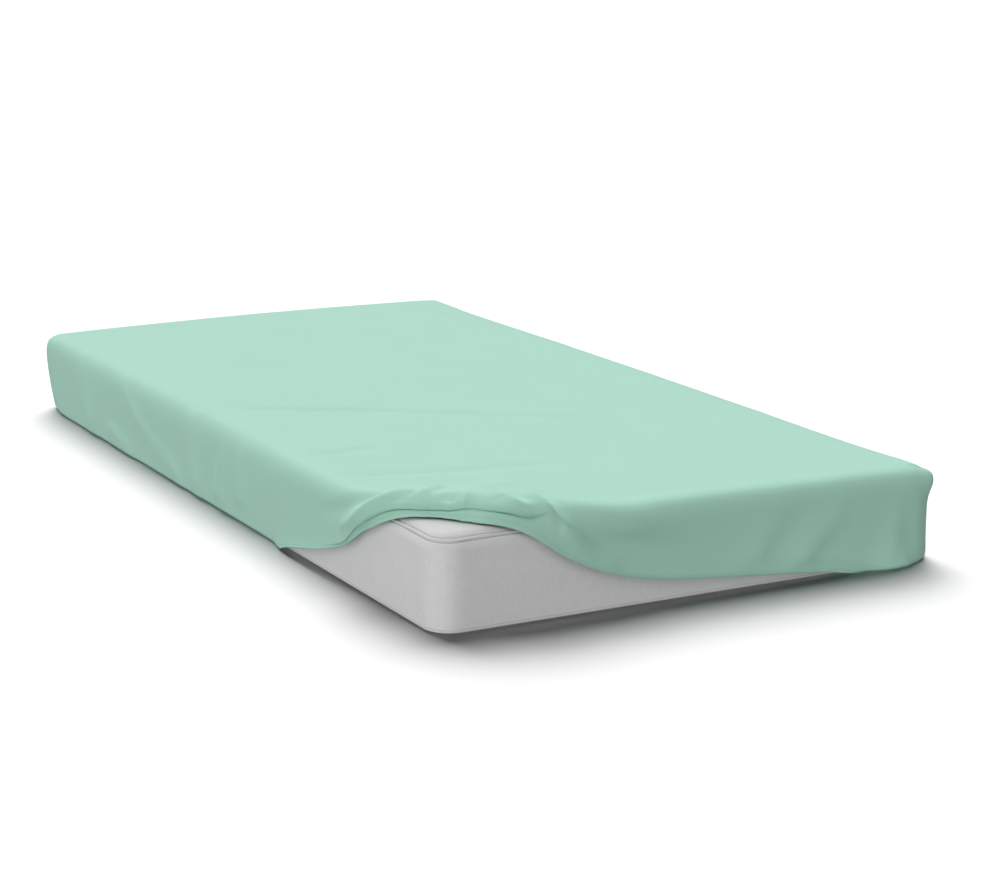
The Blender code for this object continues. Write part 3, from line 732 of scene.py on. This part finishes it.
def show(name, mesh, *materials):
    """An object for a mesh in the scene, with its materials."""
    made = bpy.data.objects.new(name, mesh)
    bpy.context.scene.collection.objects.link(made)
    for material in materials:
        made.data.materials.append(material)
    return made


def flattened(made):
    """The object with its modifiers turned into a plain mesh."""
    graph = bpy.context.evaluated_depsgraph_get()
    mesh = bpy.data.meshes.new_from_object(made.evaluated_get(graph))
    made.modifiers.clear()
    made.data = mesh
    return made


def ring_faces(lines, rows):
    """Faces of a closed round of lines, each of so many points, numbered line by line."""
    faces = []
    for line in range(lines):
        here, onward = line * rows, (line + 1) % lines * rows
        faces += [(here + row, here + row + 1, onward + row + 1, onward + row)
                  for row in range(rows - 1)]
    return faces


def inside_loop(points, loop):
    """Whether plan points lie inside a closed loop."""
    inside = np.zeros(len(points), dtype=bool)
    x, y = points[:, 0], points[:, 1]
    for (x1, y1), (x2, y2) in zip(loop, np.roll(loop, -1, axis=0)):
        crosses = (y1 > y) != (y2 > y)
        if abs(y2 - y1) > LEVEL:
            inside ^= crosses & (x < (x2 - x1) * (y - y1) / (y2 - y1) + x1)
    return inside


def spread_points(loop, step, keep_off):
    """Points inside a loop and clear of it, in rows set half a step over from each other."""
    low, high = loop.min(axis=0), loop.max(axis=0)
    spread = []
    for number, row in enumerate(np.arange(low[1], high[1], step * ROW_SHARE)):
        across = np.arange(low[0] + step * (number % 2) / 2, high[0], step)
        spread.append(np.column_stack((across, np.full(len(across), row))))
    points = np.concatenate(spread)
    points = points[inside_loop(points, loop)]
    gaps = nearest_on_run(points, np.concatenate((loop, loop[:1])))[0]
    return points[gaps > keep_off]


def fill_loop(loop, inner, names):
    """Triangles, facing up, that fill a plan loop by way of inner points, by the points' names."""
    count = len(loop)
    points = [Vector(point) for point in np.concatenate((loop, inner)).tolist()]
    edges = [(at, (at + 1) % count) for at in range(count)]
    only_inside = 1
    filled = geometry.delaunay_2d_cdt(points, edges, [], only_inside, SAME_POINT)
    if len(filled[0]) != len(points):
        raise RuntimeError("the plan loop crosses itself")
    origins = [names[origin[0]] for origin in filled[3]]
    return [tuple(origins[corner] for corner in face) for face in filled[2]]


# Finishes

class Value:
    """A number or vector that varies over a surface; expressions on it add the nodes they need."""

    def __init__(self, finish, socket):
        self.finish = finish
        self.socket = socket

    def _with(self, operation, *values):
        return self.finish.node("ShaderNodeMath", {"operation": operation}, dict(enumerate(values)))

    def __add__(self, other):
        return self._with("ADD", self, other)

    __radd__ = __add__

    def __sub__(self, other):
        return self._with("SUBTRACT", self, other)

    def __rsub__(self, other):
        return self._with("SUBTRACT", other, self)

    def __mul__(self, other):
        return self._with("MULTIPLY", self, other)

    __rmul__ = __mul__

    def sine(self):
        """The sine of the value."""
        return self._with("SINE", self)

    def clear_of(self, low, high):
        """A smooth step from 0 at the low value to 1 at the high one."""
        inputs = {"Value": self, "From Min": low, "From Max": high}
        return self.finish.node("ShaderNodeMapRange", {"interpolation_type": "SMOOTHSTEP"}, inputs)


class Finish:
    """A material, with its nodes added one by one."""

    def __init__(self, name, roughness, **constants):
        self.material = bpy.data.materials.new(name)
        self.material.use_nodes = True
        self.nodes = self.material.node_tree.nodes
        self.links = self.material.node_tree.links
        self.shader = self.nodes["Principled BSDF"]
        self.shader.inputs["Roughness"].default_value = roughness
        for socket, value in constants.items():
            self.shader.inputs[socket.replace("_", " ").title()].default_value = value

    def node(self, kind, settings, inputs, output=0):
        """A node's output, after its settings and then its sockets' values or links."""
        made = self.nodes.new(kind)
        for name, value in settings.items():
            setattr(made, name, value)
        for name, value in inputs.items():
            self.join(made.inputs[name], value)
        return Value(self, made.outputs[output])

    def join(self, socket, value):
        """Link a varying value to a socket, or set a constant there."""
        if isinstance(value, Value):
            self.links.new(value.socket, socket)
        else:
            socket.default_value = value

    def place(self, uv=None):
        """The place on the object, or on one of its UV maps."""
        if uv is None:
            return self.node("ShaderNodeTexCoord", {}, {}, "Object")
        return self.node("ShaderNodeUVMap", {"uv_map": uv}, {}, "UV")

    def scaled(self, place, scale):
        """A place with its three measures scaled."""
        return self.node("ShaderNodeMapping", {}, {"Vector": place, "Scale": scale})

    def parts(self, place):
        """The separate measures of a place."""
        split = self.node("ShaderNodeSeparateXYZ", {}, {"Vector": place})
        outputs = split.socket.node.outputs
        return [Value(self, outputs[axis]) for axis in "XYZ"]

    def noise(self, place, scale, detail):
        """A soft noise from 0 to 1."""
        inputs = {"Vector": place, "Scale": scale, "Detail": detail}
        return self.node("ShaderNodeTexNoise", {}, inputs)

    def blend(self, factor, low, high):
        """A colour between two, by a factor."""
        # a Mix node gives its number, vector and colour sockets the same names
        inputs = {0: factor, 6: low, 7: high}
        return self.node("ShaderNodeMix", {"data_type": "RGBA"}, inputs, 2)

    def bump(self, height, distance, strength, normal=None):
        """A relief of the height on top of another."""
        inputs = {"Height": height, "Distance": distance, "Strength": strength}
        if normal is not None:
            inputs["Normal"] = normal
        return self.node("ShaderNodeBump", {}, inputs)

    def finished(self, colour, normal=None):
        """The material, once its shader has what varies over it."""
        self.join(self.shader.inputs["Base Color"], colour)
        if normal is not None:
            self.join(self.shader.inputs["Normal"], normal)
        return self.material


def shade(colour, factor):
    """A colour made lighter or darker by a factor, with its alpha."""
    return (*(min(1.0, part * factor) for part in colour), 1.0)


def knitted_cloth(colour):
    """Fine jersey: rows of small stitches, softly uneven in tone, with a little nap."""
    finish = Finish("sheet_cloth", roughness=0.92, sheen_weight=0.12, sheen_roughness=0.5)
    place = finish.place("cloth")
    across, along, _ = finish.parts(place)
    wales = (across * (math.tau / WALE_PITCH)).sine()
    courses = ((along + wales * 0.00012) * (math.tau / COURSE_PITCH)).sine()
    knit = wales * 0.6 + courses * 0.4
    slub = finish.noise(finish.scaled(place, (90.0, 900.0, 1.0)), scale=1.0, detail=3.0)
    mottle = finish.noise(finish.place(), scale=9.0, detail=3.0)
    nap = finish.noise(finish.place(), scale=160.0, detail=3.0)
    tone = mottle * 0.6 + slub * 0.4
    body = finish.blend(tone, shade(colour, 0.972), shade(colour, 1.028))
    relief = finish.bump(knit, distance=0.00012, strength=0.35)
    return finish.finished(body, finish.bump(nap, distance=0.0010, strength=0.10, normal=relief))


def sewing_thread(colour):
    """Twisted thread, in the tone of its cloth."""
    finish = Finish("sheet_thread", roughness=0.7)
    twist = finish.noise(finish.place(), scale=1400.0, detail=1.0)
    body = finish.blend(twist, shade(colour, 0.90), shade(colour, 1.06))
    return finish.finished(body, finish.bump(twist, distance=0.0002, strength=0.5))


def panel_cloth(colour):
    """Smooth knitted ticking."""
    finish = Finish("mattress_cloth", roughness=0.85)
    x, y, _ = finish.parts(finish.place())
    turns = math.tau / TICKING_PITCH
    ribs = ((x + y) * turns).sine() * ((x - y) * turns).sine()
    mottle = finish.noise(finish.place(), scale=60.0, detail=3.0)
    body = finish.blend(mottle, shade(colour, 0.97), shade(colour, 1.03))
    return finish.finished(body, finish.bump(ribs, distance=0.00025, strength=0.5))


def mesh_cloth(colour, pitch):
    """Spacer mesh: rows of small round holes, each row half a pitch over from the last, with
    painted shade in the holes.
    """
    finish = Finish("mattress_border", roughness=0.8)
    along, up, _ = finish.parts(finish.place("border"))
    turns = math.pi / pitch
    cell = ((along + up) * turns).sine() * ((along - up) * turns).sine()
    hole = (cell * cell).clear_of(0.30, 0.85)
    mottle = finish.noise(finish.place(), scale=35.0, detail=3.0)
    yarn = finish.blend(mottle, shade(colour, 0.96), shade(colour, 1.03))
    # painted shade: the holes get a much darker copy of the yarn's colour, standing in for the
    # shade that falls inside them
    body = finish.blend(hole, yarn, shade(colour, 0.48))
    return finish.finished(body, finish.bump(1 - hole, distance=0.0008, strength=0.7))


def tape_cloth(colour):
    """Woven tape sewn round a cord, its ribs slanting across it."""
    finish = Finish("piping_cloth", roughness=0.75)
    along, round_it, _ = finish.parts(finish.place("tape"))
    ribs = ((along + round_it * 0.6) * (math.tau / TAPE_PITCH)).sine()
    body = finish.blend(ribs.clear_of(-1.0, 1.0), shade(colour, 0.94), shade(colour, 1.03))
    return finish.finished(body, finish.bump(ribs, distance=0.00035, strength=0.6))


# Stitches

def stitch_tree():
    """Nodes that lay stitches along a path whose points hold the cloth's normal."""
    tree = bpy.data.node_groups.new("row of stitches", "GeometryNodeTree")
    sockets = (("OUTPUT", "Geometry", "Geometry"), ("INPUT", "Geometry", "Geometry"),
               ("INPUT", "Pitch", "Float"), ("INPUT", "Length", "Float"),
               ("INPUT", "Thread", "Float"), ("INPUT", "Finish", "Material"))
    for side, name, kind in sockets:
        tree.interface.new_socket(name=name, in_out=side, socket_type=f"NodeSocket{kind}")
    entry = tree.nodes.new("NodeGroupInput")
    end = tree.nodes.new("NodeGroupOutput")

    def add(kind, settings=None, **inputs):
        made = tree.nodes.new(kind)
        for name, value in (settings or {}).items():
            setattr(made, name, value)
        for name, value in inputs.items():
            socket = made.inputs[name.replace("_", " ")]
            if isinstance(value, bpy.types.NodeSocket):
                tree.links.new(value, socket)
            else:
                socket.default_value = value
        return made

    way = add("GeometryNodeMeshToCurve", Mesh=entry.outputs["Geometry"])
    even = add("GeometryNodeResampleCurve", {"mode": "LENGTH"},
               Curve=way.outputs["Curve"], Length=entry.outputs["Pitch"])
    tangent = add("GeometryNodeInputTangent")
    facing = add("GeometryNodeInputNamedAttribute", {"data_type": "FLOAT_VECTOR"}, Name="facing")
    turned = add("FunctionNodeAlignRotationToVector", {"axis": "Z"},
                 Vector=facing.outputs["Attribute"])
    along = add("FunctionNodeAlignRotationToVector", {"axis": "X", "pivot_axis": "Z"},
                Rotation=turned.outputs["Rotation"], Vector=tangent.outputs["Tangent"])
    half = add("ShaderNodeMath", {"operation": "MULTIPLY"})
    tree.links.new(entry.outputs["Length"], half.inputs[0])
    half.inputs[1].default_value = 0.5
    bead = add("GeometryNodeMeshUVSphere", Segments=6, Rings=5, Radius=1.0)
    size = add("ShaderNodeCombineXYZ", X=half.outputs[0],
               Y=entry.outputs["Thread"], Z=entry.outputs["Thread"])
    placed = add("GeometryNodeInstanceOnPoints", Points=even.outputs["Curve"],
                 Instance=bead.outputs["Mesh"], Rotation=along.outputs["Rotation"],
                 Scale=size.outputs["Vector"])
    real = add("GeometryNodeRealizeInstances", Geometry=placed.outputs["Instances"])
    smooth = add("GeometryNodeSetShadeSmooth", Geometry=real.outputs["Geometry"])
    dressed = add("GeometryNodeSetMaterial", Geometry=smooth.outputs["Geometry"],
                  Material=entry.outputs["Finish"])
    tree.links.new(dressed.outputs["Geometry"], end.inputs["Geometry"])
    return tree


def sew(name, paths, facing, settings, material):
    """A piece of stitches along paths of points, each with the cloth's normals there."""
    points = np.concatenate(paths)
    edges = []
    first = 0
    for path in paths:
        edges += [(at, at + 1) for at in range(first, first + len(path) - 1)]
        first += len(path)
    mesh = bpy.data.meshes.new(name)
    mesh.from_pydata(points.tolist(), edges, [])
    normals = mesh.attributes.new("facing", "FLOAT_VECTOR", "POINT")
    normals.data.foreach_set("vector", np.concatenate(facing).ravel())
    made = show(name, mesh)
    rows = made.modifiers.new("stitches", "NODES")
    rows.node_group = stitch_tree()
    values = {"Pitch": settings.pitch, "Length": settings.length, "Thread": settings.thread,
              "Finish": material}
    for socket in rows.node_group.interface.items_tree:
        if socket.name in values:
            rows[socket.identifier] = values[socket.name]
    return flattened(made)


# The pieces

def cloth_at(station, back, rise, hem, settings):
    """Points of the cloth at each station and way back from the hem, with its folds and creases."""
    drop = hem["drop"] - back
    clear = 1 - hem["sharpness"] * (1 - ease((back - hem["crease_back"]) / TUCK_FADE))
    rise = rise + rise_of_folds(station, drop) * clear + rise_of_ears(station, drop)
    rise = rise - dip_of_seams(station, drop) - dip_of_edge(station, drop)
    rise = np.maximum(rise, -SEAM_DEPTH - EDGE_SINK) * (1 - ease((drop - FOOT_END) / FOOT_FADE))
    turned = turn_at(drop)
    flat = lay(station, drop, 0 * drop)[..., :2]
    sunk = dip_of_creases(flat, settings.crease_scale) * (1 - ease(drop / EDGE_END))
    rise = rise + EDGE_EASE * np.sin(2 * turned) ** 2 - sunk
    return pulled_in(station, lay(station, drop, rise))


def stitch_row(station, drop, sheet, thread):
    """Points of a row of stitches on the cloth's outside, and the cloth's normals there."""
    corners = []
    for ahead, over in ((0.0, 0.0), (SEAM_HALF, 0.0), (0.0, SEAM_HALF)):
        here = station + ahead
        hem = hem_at(here)
        back = hem["drop"] - (drop + over)[:, None]
        corners.append(cloth_at(here[:, None], back, rise_of_roll(back, hem), hem, sheet)[:, 0])
    middle, ahead, over = corners
    normal = np.cross(over - middle, ahead - middle)
    normal /= np.linalg.norm(normal, axis=-1, keepdims=True)
    return middle + normal * (sheet.thickness + thread) / 2, normal


def make_stitches(settings, sheet):
    """The stitches along the hem that shows and beside the three corner seams."""
    station = np.arange(STITCHED_HEM[0], STITCHED_HEM[1], settings.pitch)
    hem = hem_at(station)
    inset = np.minimum(settings.hem_inset, HEM_INSET_SHARE * hem["crease_back"])[:, 0]
    rows = [stitch_row(station, hem["drop"][:, 0] - inset, sheet, settings.thread)]
    for corner, _, _ in CORNERS:
        drop = np.arange(SEAM_TOP, WALL_END, settings.pitch)
        beside = wrapped(np.full(len(drop), corner + SEAM_STITCH_OFF))
        rows.append(stitch_row(beside, drop, sheet, settings.thread))
    paths, facing = zip(*rows)
    made = sew("sheet_stitches", paths, facing, settings, sewing_thread(sheet.colour))
    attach(made, "root")
    return made


def cloth_uv(station, drop):
    """Where a point lies on the cloth laid out flat, in metres."""
    flat = lay(station, np.minimum(drop, 0.0), 0 * drop)[..., :2]
    return flat + outline(station)[1] * np.maximum(drop, 0.0)[..., None]


def set_uv(mesh, name, places):
    """Add a UV map from a place for each of the mesh's points, and give its corners' values."""
    corners = np.zeros(len(mesh.loops), dtype=np.int32)
    mesh.loops.foreach_get("vertex_index", corners)
    layer = mesh.uv_layers.new(name=name)
    at_corners = places[corners].astype(np.float32)
    layer.data.foreach_set("uv", at_corners.ravel())
    return at_corners


def top_points(loop):
    """Points of the sheet's top inside its innermost row, closer along the creases."""
    creases = [np.stack((run["x"], run["y"]), axis=-1) for run in runs_of(CREASES, CREASE_COLUMNS)]

    def to_crease(points):
        return np.min([nearest_on_run(points, crease)[0] for crease in creases], axis=0)

    spread = spread_points(loop, TOP_STEP, TOP_CLEARANCE * TOP_STEP)
    close = spread_points(loop, CREASE_STEP, CREASE_CLEARANCE * TOP_STEP)
    off_creases = to_crease(spread) > CREASE_REACH + JOIN_CLEARANCE * TOP_STEP
    return np.concatenate((spread[off_creases], close[to_crease(close) < CREASE_REACH]))


def make_sheet(settings):
    """The sheet, stretched over the mattress and pulled up off its near corner."""
    station = sheet_stations()
    back, rise, hem = sheet_lines(station)
    place = np.repeat(station[:, None], back.shape[1], axis=1)
    outer = cloth_at(place, back, rise, hem, settings)
    loop = outer[:, 0, :2]
    inner = top_points(loop)
    height = CLOTH_TOP_Z - dip_of_creases(inner, settings.crease_scale)
    height = height + crown(inner[:, 0], inner[:, 1], height)
    lines, rows = back.shape
    points = np.concatenate((outer.reshape(-1, 3), np.column_stack((inner, height))))
    names = [line * rows for line in range(lines)] + list(range(lines * rows, len(points)))
    faces = ring_faces(lines, rows) + fill_loop(loop, inner, names)
    mesh = mesh_of("fitted_sheet_cloth", points, faces)
    uv = np.concatenate((cloth_uv(place, hem["drop"] - back).reshape(-1, 2), inner))
    set_uv(mesh, "cloth", uv)
    cloth = show("fitted_sheet_cloth", mesh, knitted_cloth(settings.colour))
    wall = cloth.modifiers.new("cloth thickness", "SOLIDIFY")
    wall.thickness = settings.thickness
    wall.offset = 0.0
    flattened(cloth)
    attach(cloth, "root")
    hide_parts("fitted_sheet")
    return cloth


def rounded_edge(radius, tilt, turns):
    """Insets of a rounded edge and heights from its centre, with the groove for its piping."""
    off = (turns - tilt) * radius / GROOVE_HALF
    grooved = radius - GROOVE_DEPTH * np.exp(-off ** 4)
    return radius - grooved * np.sin(turns), grooved * np.cos(turns)


def mattress_profile():
    """The mattress's profile, from the top panel down to the base: inset, height and slope."""
    high, low = TOP_Z - SHOULDER_RADIUS, BASE_Z + BOTTOM_RADIUS
    shoulder = np.linspace(0.0, math.pi / 2, SHOULDER_ROWS)
    way = np.linspace(0.0, 1.0, BORDER_ROWS)[1:-1]
    bottom = np.linspace(math.pi / 2, math.pi, BOTTOM_ROWS)
    shoulder_inset, shoulder_up = rounded_edge(SHOULDER_RADIUS, TOP_PIPING_TILT, shoulder)
    bottom_inset, bottom_up = rounded_edge(BOTTOM_RADIUS, BOTTOM_PIPING_TILT, bottom)
    bulge = BORDER_BULGE * np.sin(math.pi * way) ** 2
    parts = (
        (PANEL_INSETS, TOP_Z, 0.0),
        (shoulder_inset, high + shoulder_up, shoulder),
        (-bulge, high + (low - high) * way, math.pi / 2),
        (bottom_inset, low + bottom_up, bottom),
        (BASE_INSETS, BASE_Z, math.pi),
    )
    return np.concatenate([np.stack(np.broadcast_arrays(*part)) for part in parts], axis=1)


def squeezed(station, inset, height, slope):
    """Insets and heights of the mattress's surface, where the tight sheet rounds its shoulder."""
    drop = CLOTH_EDGE_RADIUS * np.minimum(slope, math.pi / 2)
    drop = drop - np.where(slope > 0, 0.0, inset - SHOULDER_RADIUS)
    on_wall = np.maximum(TOP_Z - SHOULDER_RADIUS - height, 0.0)
    drop = drop + np.where(slope >= math.pi / 2, on_wall, 0.0)
    dip = dip_of_edge(station, drop)
    return inset + dip * np.sin(slope), height - dip * np.maximum(np.cos(slope), 0.0)


def mattress_stations():
    """Stations of the mattress's lines, close-set at the near corner and the other corners."""
    marks = [(0.0, BARED_CORNER_STEP), (BARED_CORNER, BARED_SIDE_STEP),
             (BARED_SHORT_SIDE, COVERED_SHORT_STEP)]
    for corner, _, _ in CORNERS:
        seam = corner % PERIMETER
        marks += [(seam - QUARTER / 2, ARC_STEP), (seam + QUARTER / 2, COVERED_STEP)]
    marks += [(PERIMETER - BARED_LONG_SIDE, BARED_SIDE_STEP),
              (PERIMETER - BARED_CORNER, BARED_CORNER_STEP), (PERIMETER, 0.0)]
    return stations_between(marks)


def covered_sink(x, y):
    """How far the top gives under the sheet, away from the bared corner."""
    from_corner = np.hypot(x + WIDTH / 2, y + LENGTH / 2)
    return COVERED_SINK * ease((from_corner - BARED_RADIUS) / COVERED_FADE)


def crowned(plan, height):
    """Mattress points raised by the soft filling."""
    x, y = plan[..., 0], plan[..., 1]
    on_top = ease((height - TOP_Z + SHOULDER_RADIUS) / SHOULDER_RADIUS)
    lifted = height + crown(x, y, height - BASE_Z) - covered_sink(x, y) * on_top
    return np.concatenate((plan, lifted[..., None]), axis=-1)


def make_mattress(settings):
    """The mattress's body, with its panels, its border and a sewn groove for each piping."""
    station = mattress_stations()
    profile = mattress_profile()
    point, out = outline(station)
    inset, height = squeezed(*np.broadcast_arrays(station[:, None], *profile[:, None, :]))
    panel = point - out * PANEL_INSET
    centre = np.stack((0 * panel[:, 0], np.clip(panel[:, 1], -SPINE_HALF, SPINE_HALF)), axis=-1)
    inward = (centre - panel) / np.linalg.norm(centre - panel, axis=-1, keepdims=True)
    plan = point[:, None, :] - out[:, None, :] * np.minimum(inset, PANEL_INSET)[..., None]
    plan = plan + inward[:, None, :] * np.maximum(inset - PANEL_INSET, 0.0)[..., None]
    outer = crowned(plan, height)
    lines, rows = outer.shape[:2]
    drawn = pulled_in(np.repeat(station[:, None], rows, axis=1), outer)
    outer = outer + (drawn - outer) * (1 - ease((inset - BOTTOM_RADIUS) / PULL_FADE))[..., None]
    points = outer.reshape(-1, 3)
    faces = ring_faces(lines, rows)
    for row, level in ((0, TOP_Z), (rows - 1, BASE_Z)):
        loop = outer[:, row, :2]
        inner = spread_points(loop, CAP_STEP, CAP_CLEARANCE)
        names = [*range(row, lines * rows, rows), *range(len(points), len(points) + len(inner))]
        cap = fill_loop(loop, inner, names)
        faces += cap if row == 0 else [face[::-1] for face in cap]
        points = np.concatenate((points, crowned(inner, np.full(len(inner), level))))
    mesh = mesh_of("mattress_body", points, faces)
    uv = np.zeros((len(points), 2))
    on_border = np.stack(np.broadcast_arrays(station[:, None], height), axis=-1)
    uv[:lines * rows] = on_border.reshape(-1, 2)
    at_corners = set_uv(mesh, "border", uv)
    # the round's last faces run on to the whole way round, not back to its start
    last = at_corners[4 * (lines - 1) * (rows - 1):4 * lines * (rows - 1), 0]
    last[last < PERIMETER / 2] += PERIMETER
    mesh.uv_layers["border"].data.foreach_set("uv", at_corners.ravel())
    body = show("mattress_body", mesh, panel_cloth(settings.panel_colour),
                mesh_cloth(settings.border_colour, settings.mesh_pitch))
    border = (profile[2] > TOP_PIPING_TILT) & (profile[2] < BOTTOM_PIPING_TILT)
    kinds = np.zeros(len(faces), dtype=np.int32)
    kinds[:lines * (rows - 1)] = np.tile(border[:-1], lines)
    mesh.polygons.foreach_set("material_index", kinds)
    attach(body, "root")
    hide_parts("mattress")
    return body


def make_piping(name, node, tilt, material, sides):
    """One piping: a cord in woven tape, in its groove round the mattress."""
    on_top = tilt < math.pi / 2
    radius = SHOULDER_RADIUS if on_top else BOTTOM_RADIUS
    centre_z = TOP_Z - radius if on_top else BASE_Z + radius
    inset = radius - (radius - PIPING_SINK) * math.sin(tilt)
    height = centre_z + (radius - PIPING_SINK) * math.cos(tilt)
    station = mattress_stations()
    point, out = outline(station)
    inset, height = squeezed(*np.broadcast_arrays(station, inset, height, tilt))
    plan = point - out * inset[:, None]
    level = crowned(plan, height)[:, 2]
    turn = np.arange(sides) * math.tau / sides
    ring_out = PIPING_RADIUS * np.cos(turn)
    ring_up = PIPING_RADIUS * np.sin(turn)
    core = pulled_in(station, np.column_stack((plan, level)))
    around = core[:, None, :2] + out[:, None, :] * ring_out[None, :, None]
    up = core[:, None, 2] + ring_up[None, :]
    points = np.concatenate((around, up[..., None]), axis=-1).reshape(-1, 3)
    lines = len(station)
    faces = []
    places = []
    for line in range(lines):
        here, onward = line * sides, (line + 1) % lines * sides
        here_way = station[line]
        onward_way = station[line + 1] if line + 1 < lines else PERIMETER
        for side in range(sides):
            following = (side + 1) % sides
            faces.append((here + side, onward + side, onward + following, here + following))
            low, high = side * PIPING_RADIUS * turn[1], (side + 1) * PIPING_RADIUS * turn[1]
            places += [(here_way, low), (onward_way, low), (onward_way, high), (here_way, high)]
    mesh = mesh_of(name, points, faces)
    layer = mesh.uv_layers.new(name="tape")
    layer.data.foreach_set("uv", np.array(places, dtype=np.float32).ravel())
    made = show(name, mesh, material)
    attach(made, "root")
    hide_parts(node)
    return made


def make_light(name, strength, softness, towards, lit, floor_stops):
    """A broad soft light from far off, shining towards a direction on the lit objects."""
    light = bpy.data.lights.new(name, "SUN")
    light.energy = strength
    light.angle = math.radians(softness)
    made = bpy.data.objects.new(name, light)
    made.rotation_euler = Vector(towards).to_track_quat("-Z", "Y").to_euler()
    made.light_linking.receiver_collection = lit
    if not floor_stops:
        made.light_linking.blocker_collection = lit
    bpy.context.scene.collection.objects.link(made)
    return made


def make_floor(settings):
    """A plain floor that throws no light back onto the bedding."""
    half = settings.floor_size / 2
    corners = ((-half, -half), (half, -half), (half, half), (-half, half))
    points = np.array([(x, y, FLOOR_Z) for x, y in corners])
    finish = Finish("floor_paint", roughness=0.9)
    grain = finish.noise(finish.place(), scale=3.0, detail=2.0)
    colour = settings.floor_colour
    paint = finish.blend(grain, shade(colour, 0.998), shade(colour, 1.002))
    floor = show("floor", mesh_of("floor", points, [(0, 1, 2, 3)]), finish.finished(paint))
    floor.visible_diffuse = False
    return floor


def make_stage(settings):
    """The floor, the even light of the sky, the soft lights and the camera."""
    floor = make_floor(settings)
    world = bpy.data.worlds.new("studio")
    world.use_nodes = True
    sky = world.node_tree.nodes["Background"]
    sky.inputs["Color"].default_value = (1.0, 1.0, 1.0, 1.0)
    sky.inputs["Strength"].default_value = settings.sky_strength
    bpy.context.scene.world = world
    lit = {on: bpy.data.collections.new(f"lit by the {on} lights") for on in ("floor", "bedding")}
    for collection in lit.values():
        collection.objects.link(floor)
    lit["bedding"].collection_objects[0].light_linking.link_state = "EXCLUDE"
    for name, strength, softness, towards, on, floor_stops in LIGHTS:
        strength *= settings.light_strength
        make_light(name, strength, softness, towards, lit[on], floor_stops)
    camera = bpy.data.objects.new("camera", bpy.data.cameras.new("camera"))
    camera.location = CAMERA_AT
    camera.rotation_euler = (math.pi / 2 - CAMERA_PITCH, 0.0, -CAMERA_YAW)
    camera.data.lens = CAMERA_LENS
    camera.data.sensor_width = SENSOR_WIDTH
    camera.data.clip_end = CAMERA_CLIP_END
    bpy.context.scene.collection.objects.link(camera)
    bpy.context.scene.camera = camera
    bpy.context.scene.view_settings.view_transform = "Standard"


class BEDDING_OT_sheet(bpy.types.Operator):
    """Add the fitted sheet"""

    bl_idname = "bedding.sheet"
    bl_label = "Fitted sheet"

    def execute(self, context):
        make_sheet(context.scene.sheet_settings)
        return {"FINISHED"}


class BEDDING_OT_stitches(bpy.types.Operator):
    """Sew the hem and the corner seams"""

    bl_idname = "bedding.stitches"
    bl_label = "Stitches"

    def execute(self, context):
        make_stitches(context.scene.stitch_settings, context.scene.sheet_settings)
        return {"FINISHED"}


class BEDDING_OT_mattress(bpy.types.Operator):
    """Add the mattress's body"""

    bl_idname = "bedding.mattress"
    bl_label = "Mattress"

    def execute(self, context):
        make_mattress(context.scene.mattress_settings)
        return {"FINISHED"}


class BEDDING_OT_pipings(bpy.types.Operator):
    """Add the two pipings round the mattress"""

    bl_idname = "bedding.pipings"
    bl_label = "Pipings"

    def execute(self, context):
        settings = context.scene.piping_settings
        tape = tape_cloth(settings.colour)
        for edge, tilt in (("top", TOP_PIPING_TILT), ("bottom", BOTTOM_PIPING_TILT)):
            make_piping(f"{edge}_piping", f"mattress_{edge}_piping", tilt, tape, settings.sides)
        return {"FINISHED"}


class BEDDING_OT_stage(bpy.types.Operator):
    """Add the floor, the lights and the camera"""

    bl_idname = "bedding.stage"
    bl_label = "Stage"

    def execute(self, context):
        make_stage(context.scene.stage_settings)
        return {"FINISHED"}


class BEDDING_PT_panel(bpy.types.Panel):
    """The pieces and their sizes and colours"""

    bl_label = "Bedding"
    bl_space_type = "VIEW_3D"
    bl_region_type = "UI"
    bl_category = "Bedding"

    def draw(self, context):
        for operator, group in PANEL_ROWS:
            settings = getattr(context.scene, group)
            self.layout.operator(operator.bl_idname)
            for name in type(settings).__annotations__:
                self.layout.prop(settings, name)


PANEL_ROWS = (
    (BEDDING_OT_mattress, "mattress_settings"),
    (BEDDING_OT_pipings, "piping_settings"),
    (BEDDING_OT_sheet, "sheet_settings"),
    (BEDDING_OT_stitches, "stitch_settings"),
    (BEDDING_OT_stage, "stage_settings"),
)
SETTINGS = {
    "sheet_settings": SheetSettings,
    "stitch_settings": StitchSettings,
    "mattress_settings": MattressSettings,
    "piping_settings": PipingSettings,
    "stage_settings": StageSettings,
}
CLASSES = (*SETTINGS.values(), *(row[0] for row in PANEL_ROWS), BEDDING_PT_panel)


def register():
    """Add the settings, the operators and the panel."""
    for made in CLASSES:
        bpy.utils.register_class(made)
    for name, group in SETTINGS.items():
        setattr(bpy.types.Scene, name, bpy.props.PointerProperty(type=group))


def unregister():
    """Take them away again."""
    for name in SETTINGS:
        delattr(bpy.types.Scene, name)
    for made in reversed(CLASSES):
        bpy.utils.unregister_class(made)


def main():
    """Make every piece and the stage."""
    register()
    bpy.ops.bedding.mattress()
    bpy.ops.bedding.pipings()
    bpy.ops.bedding.sheet()
    bpy.ops.bedding.stitches()
    bpy.ops.bedding.stage()


if __name__ == "__main__":
    main()
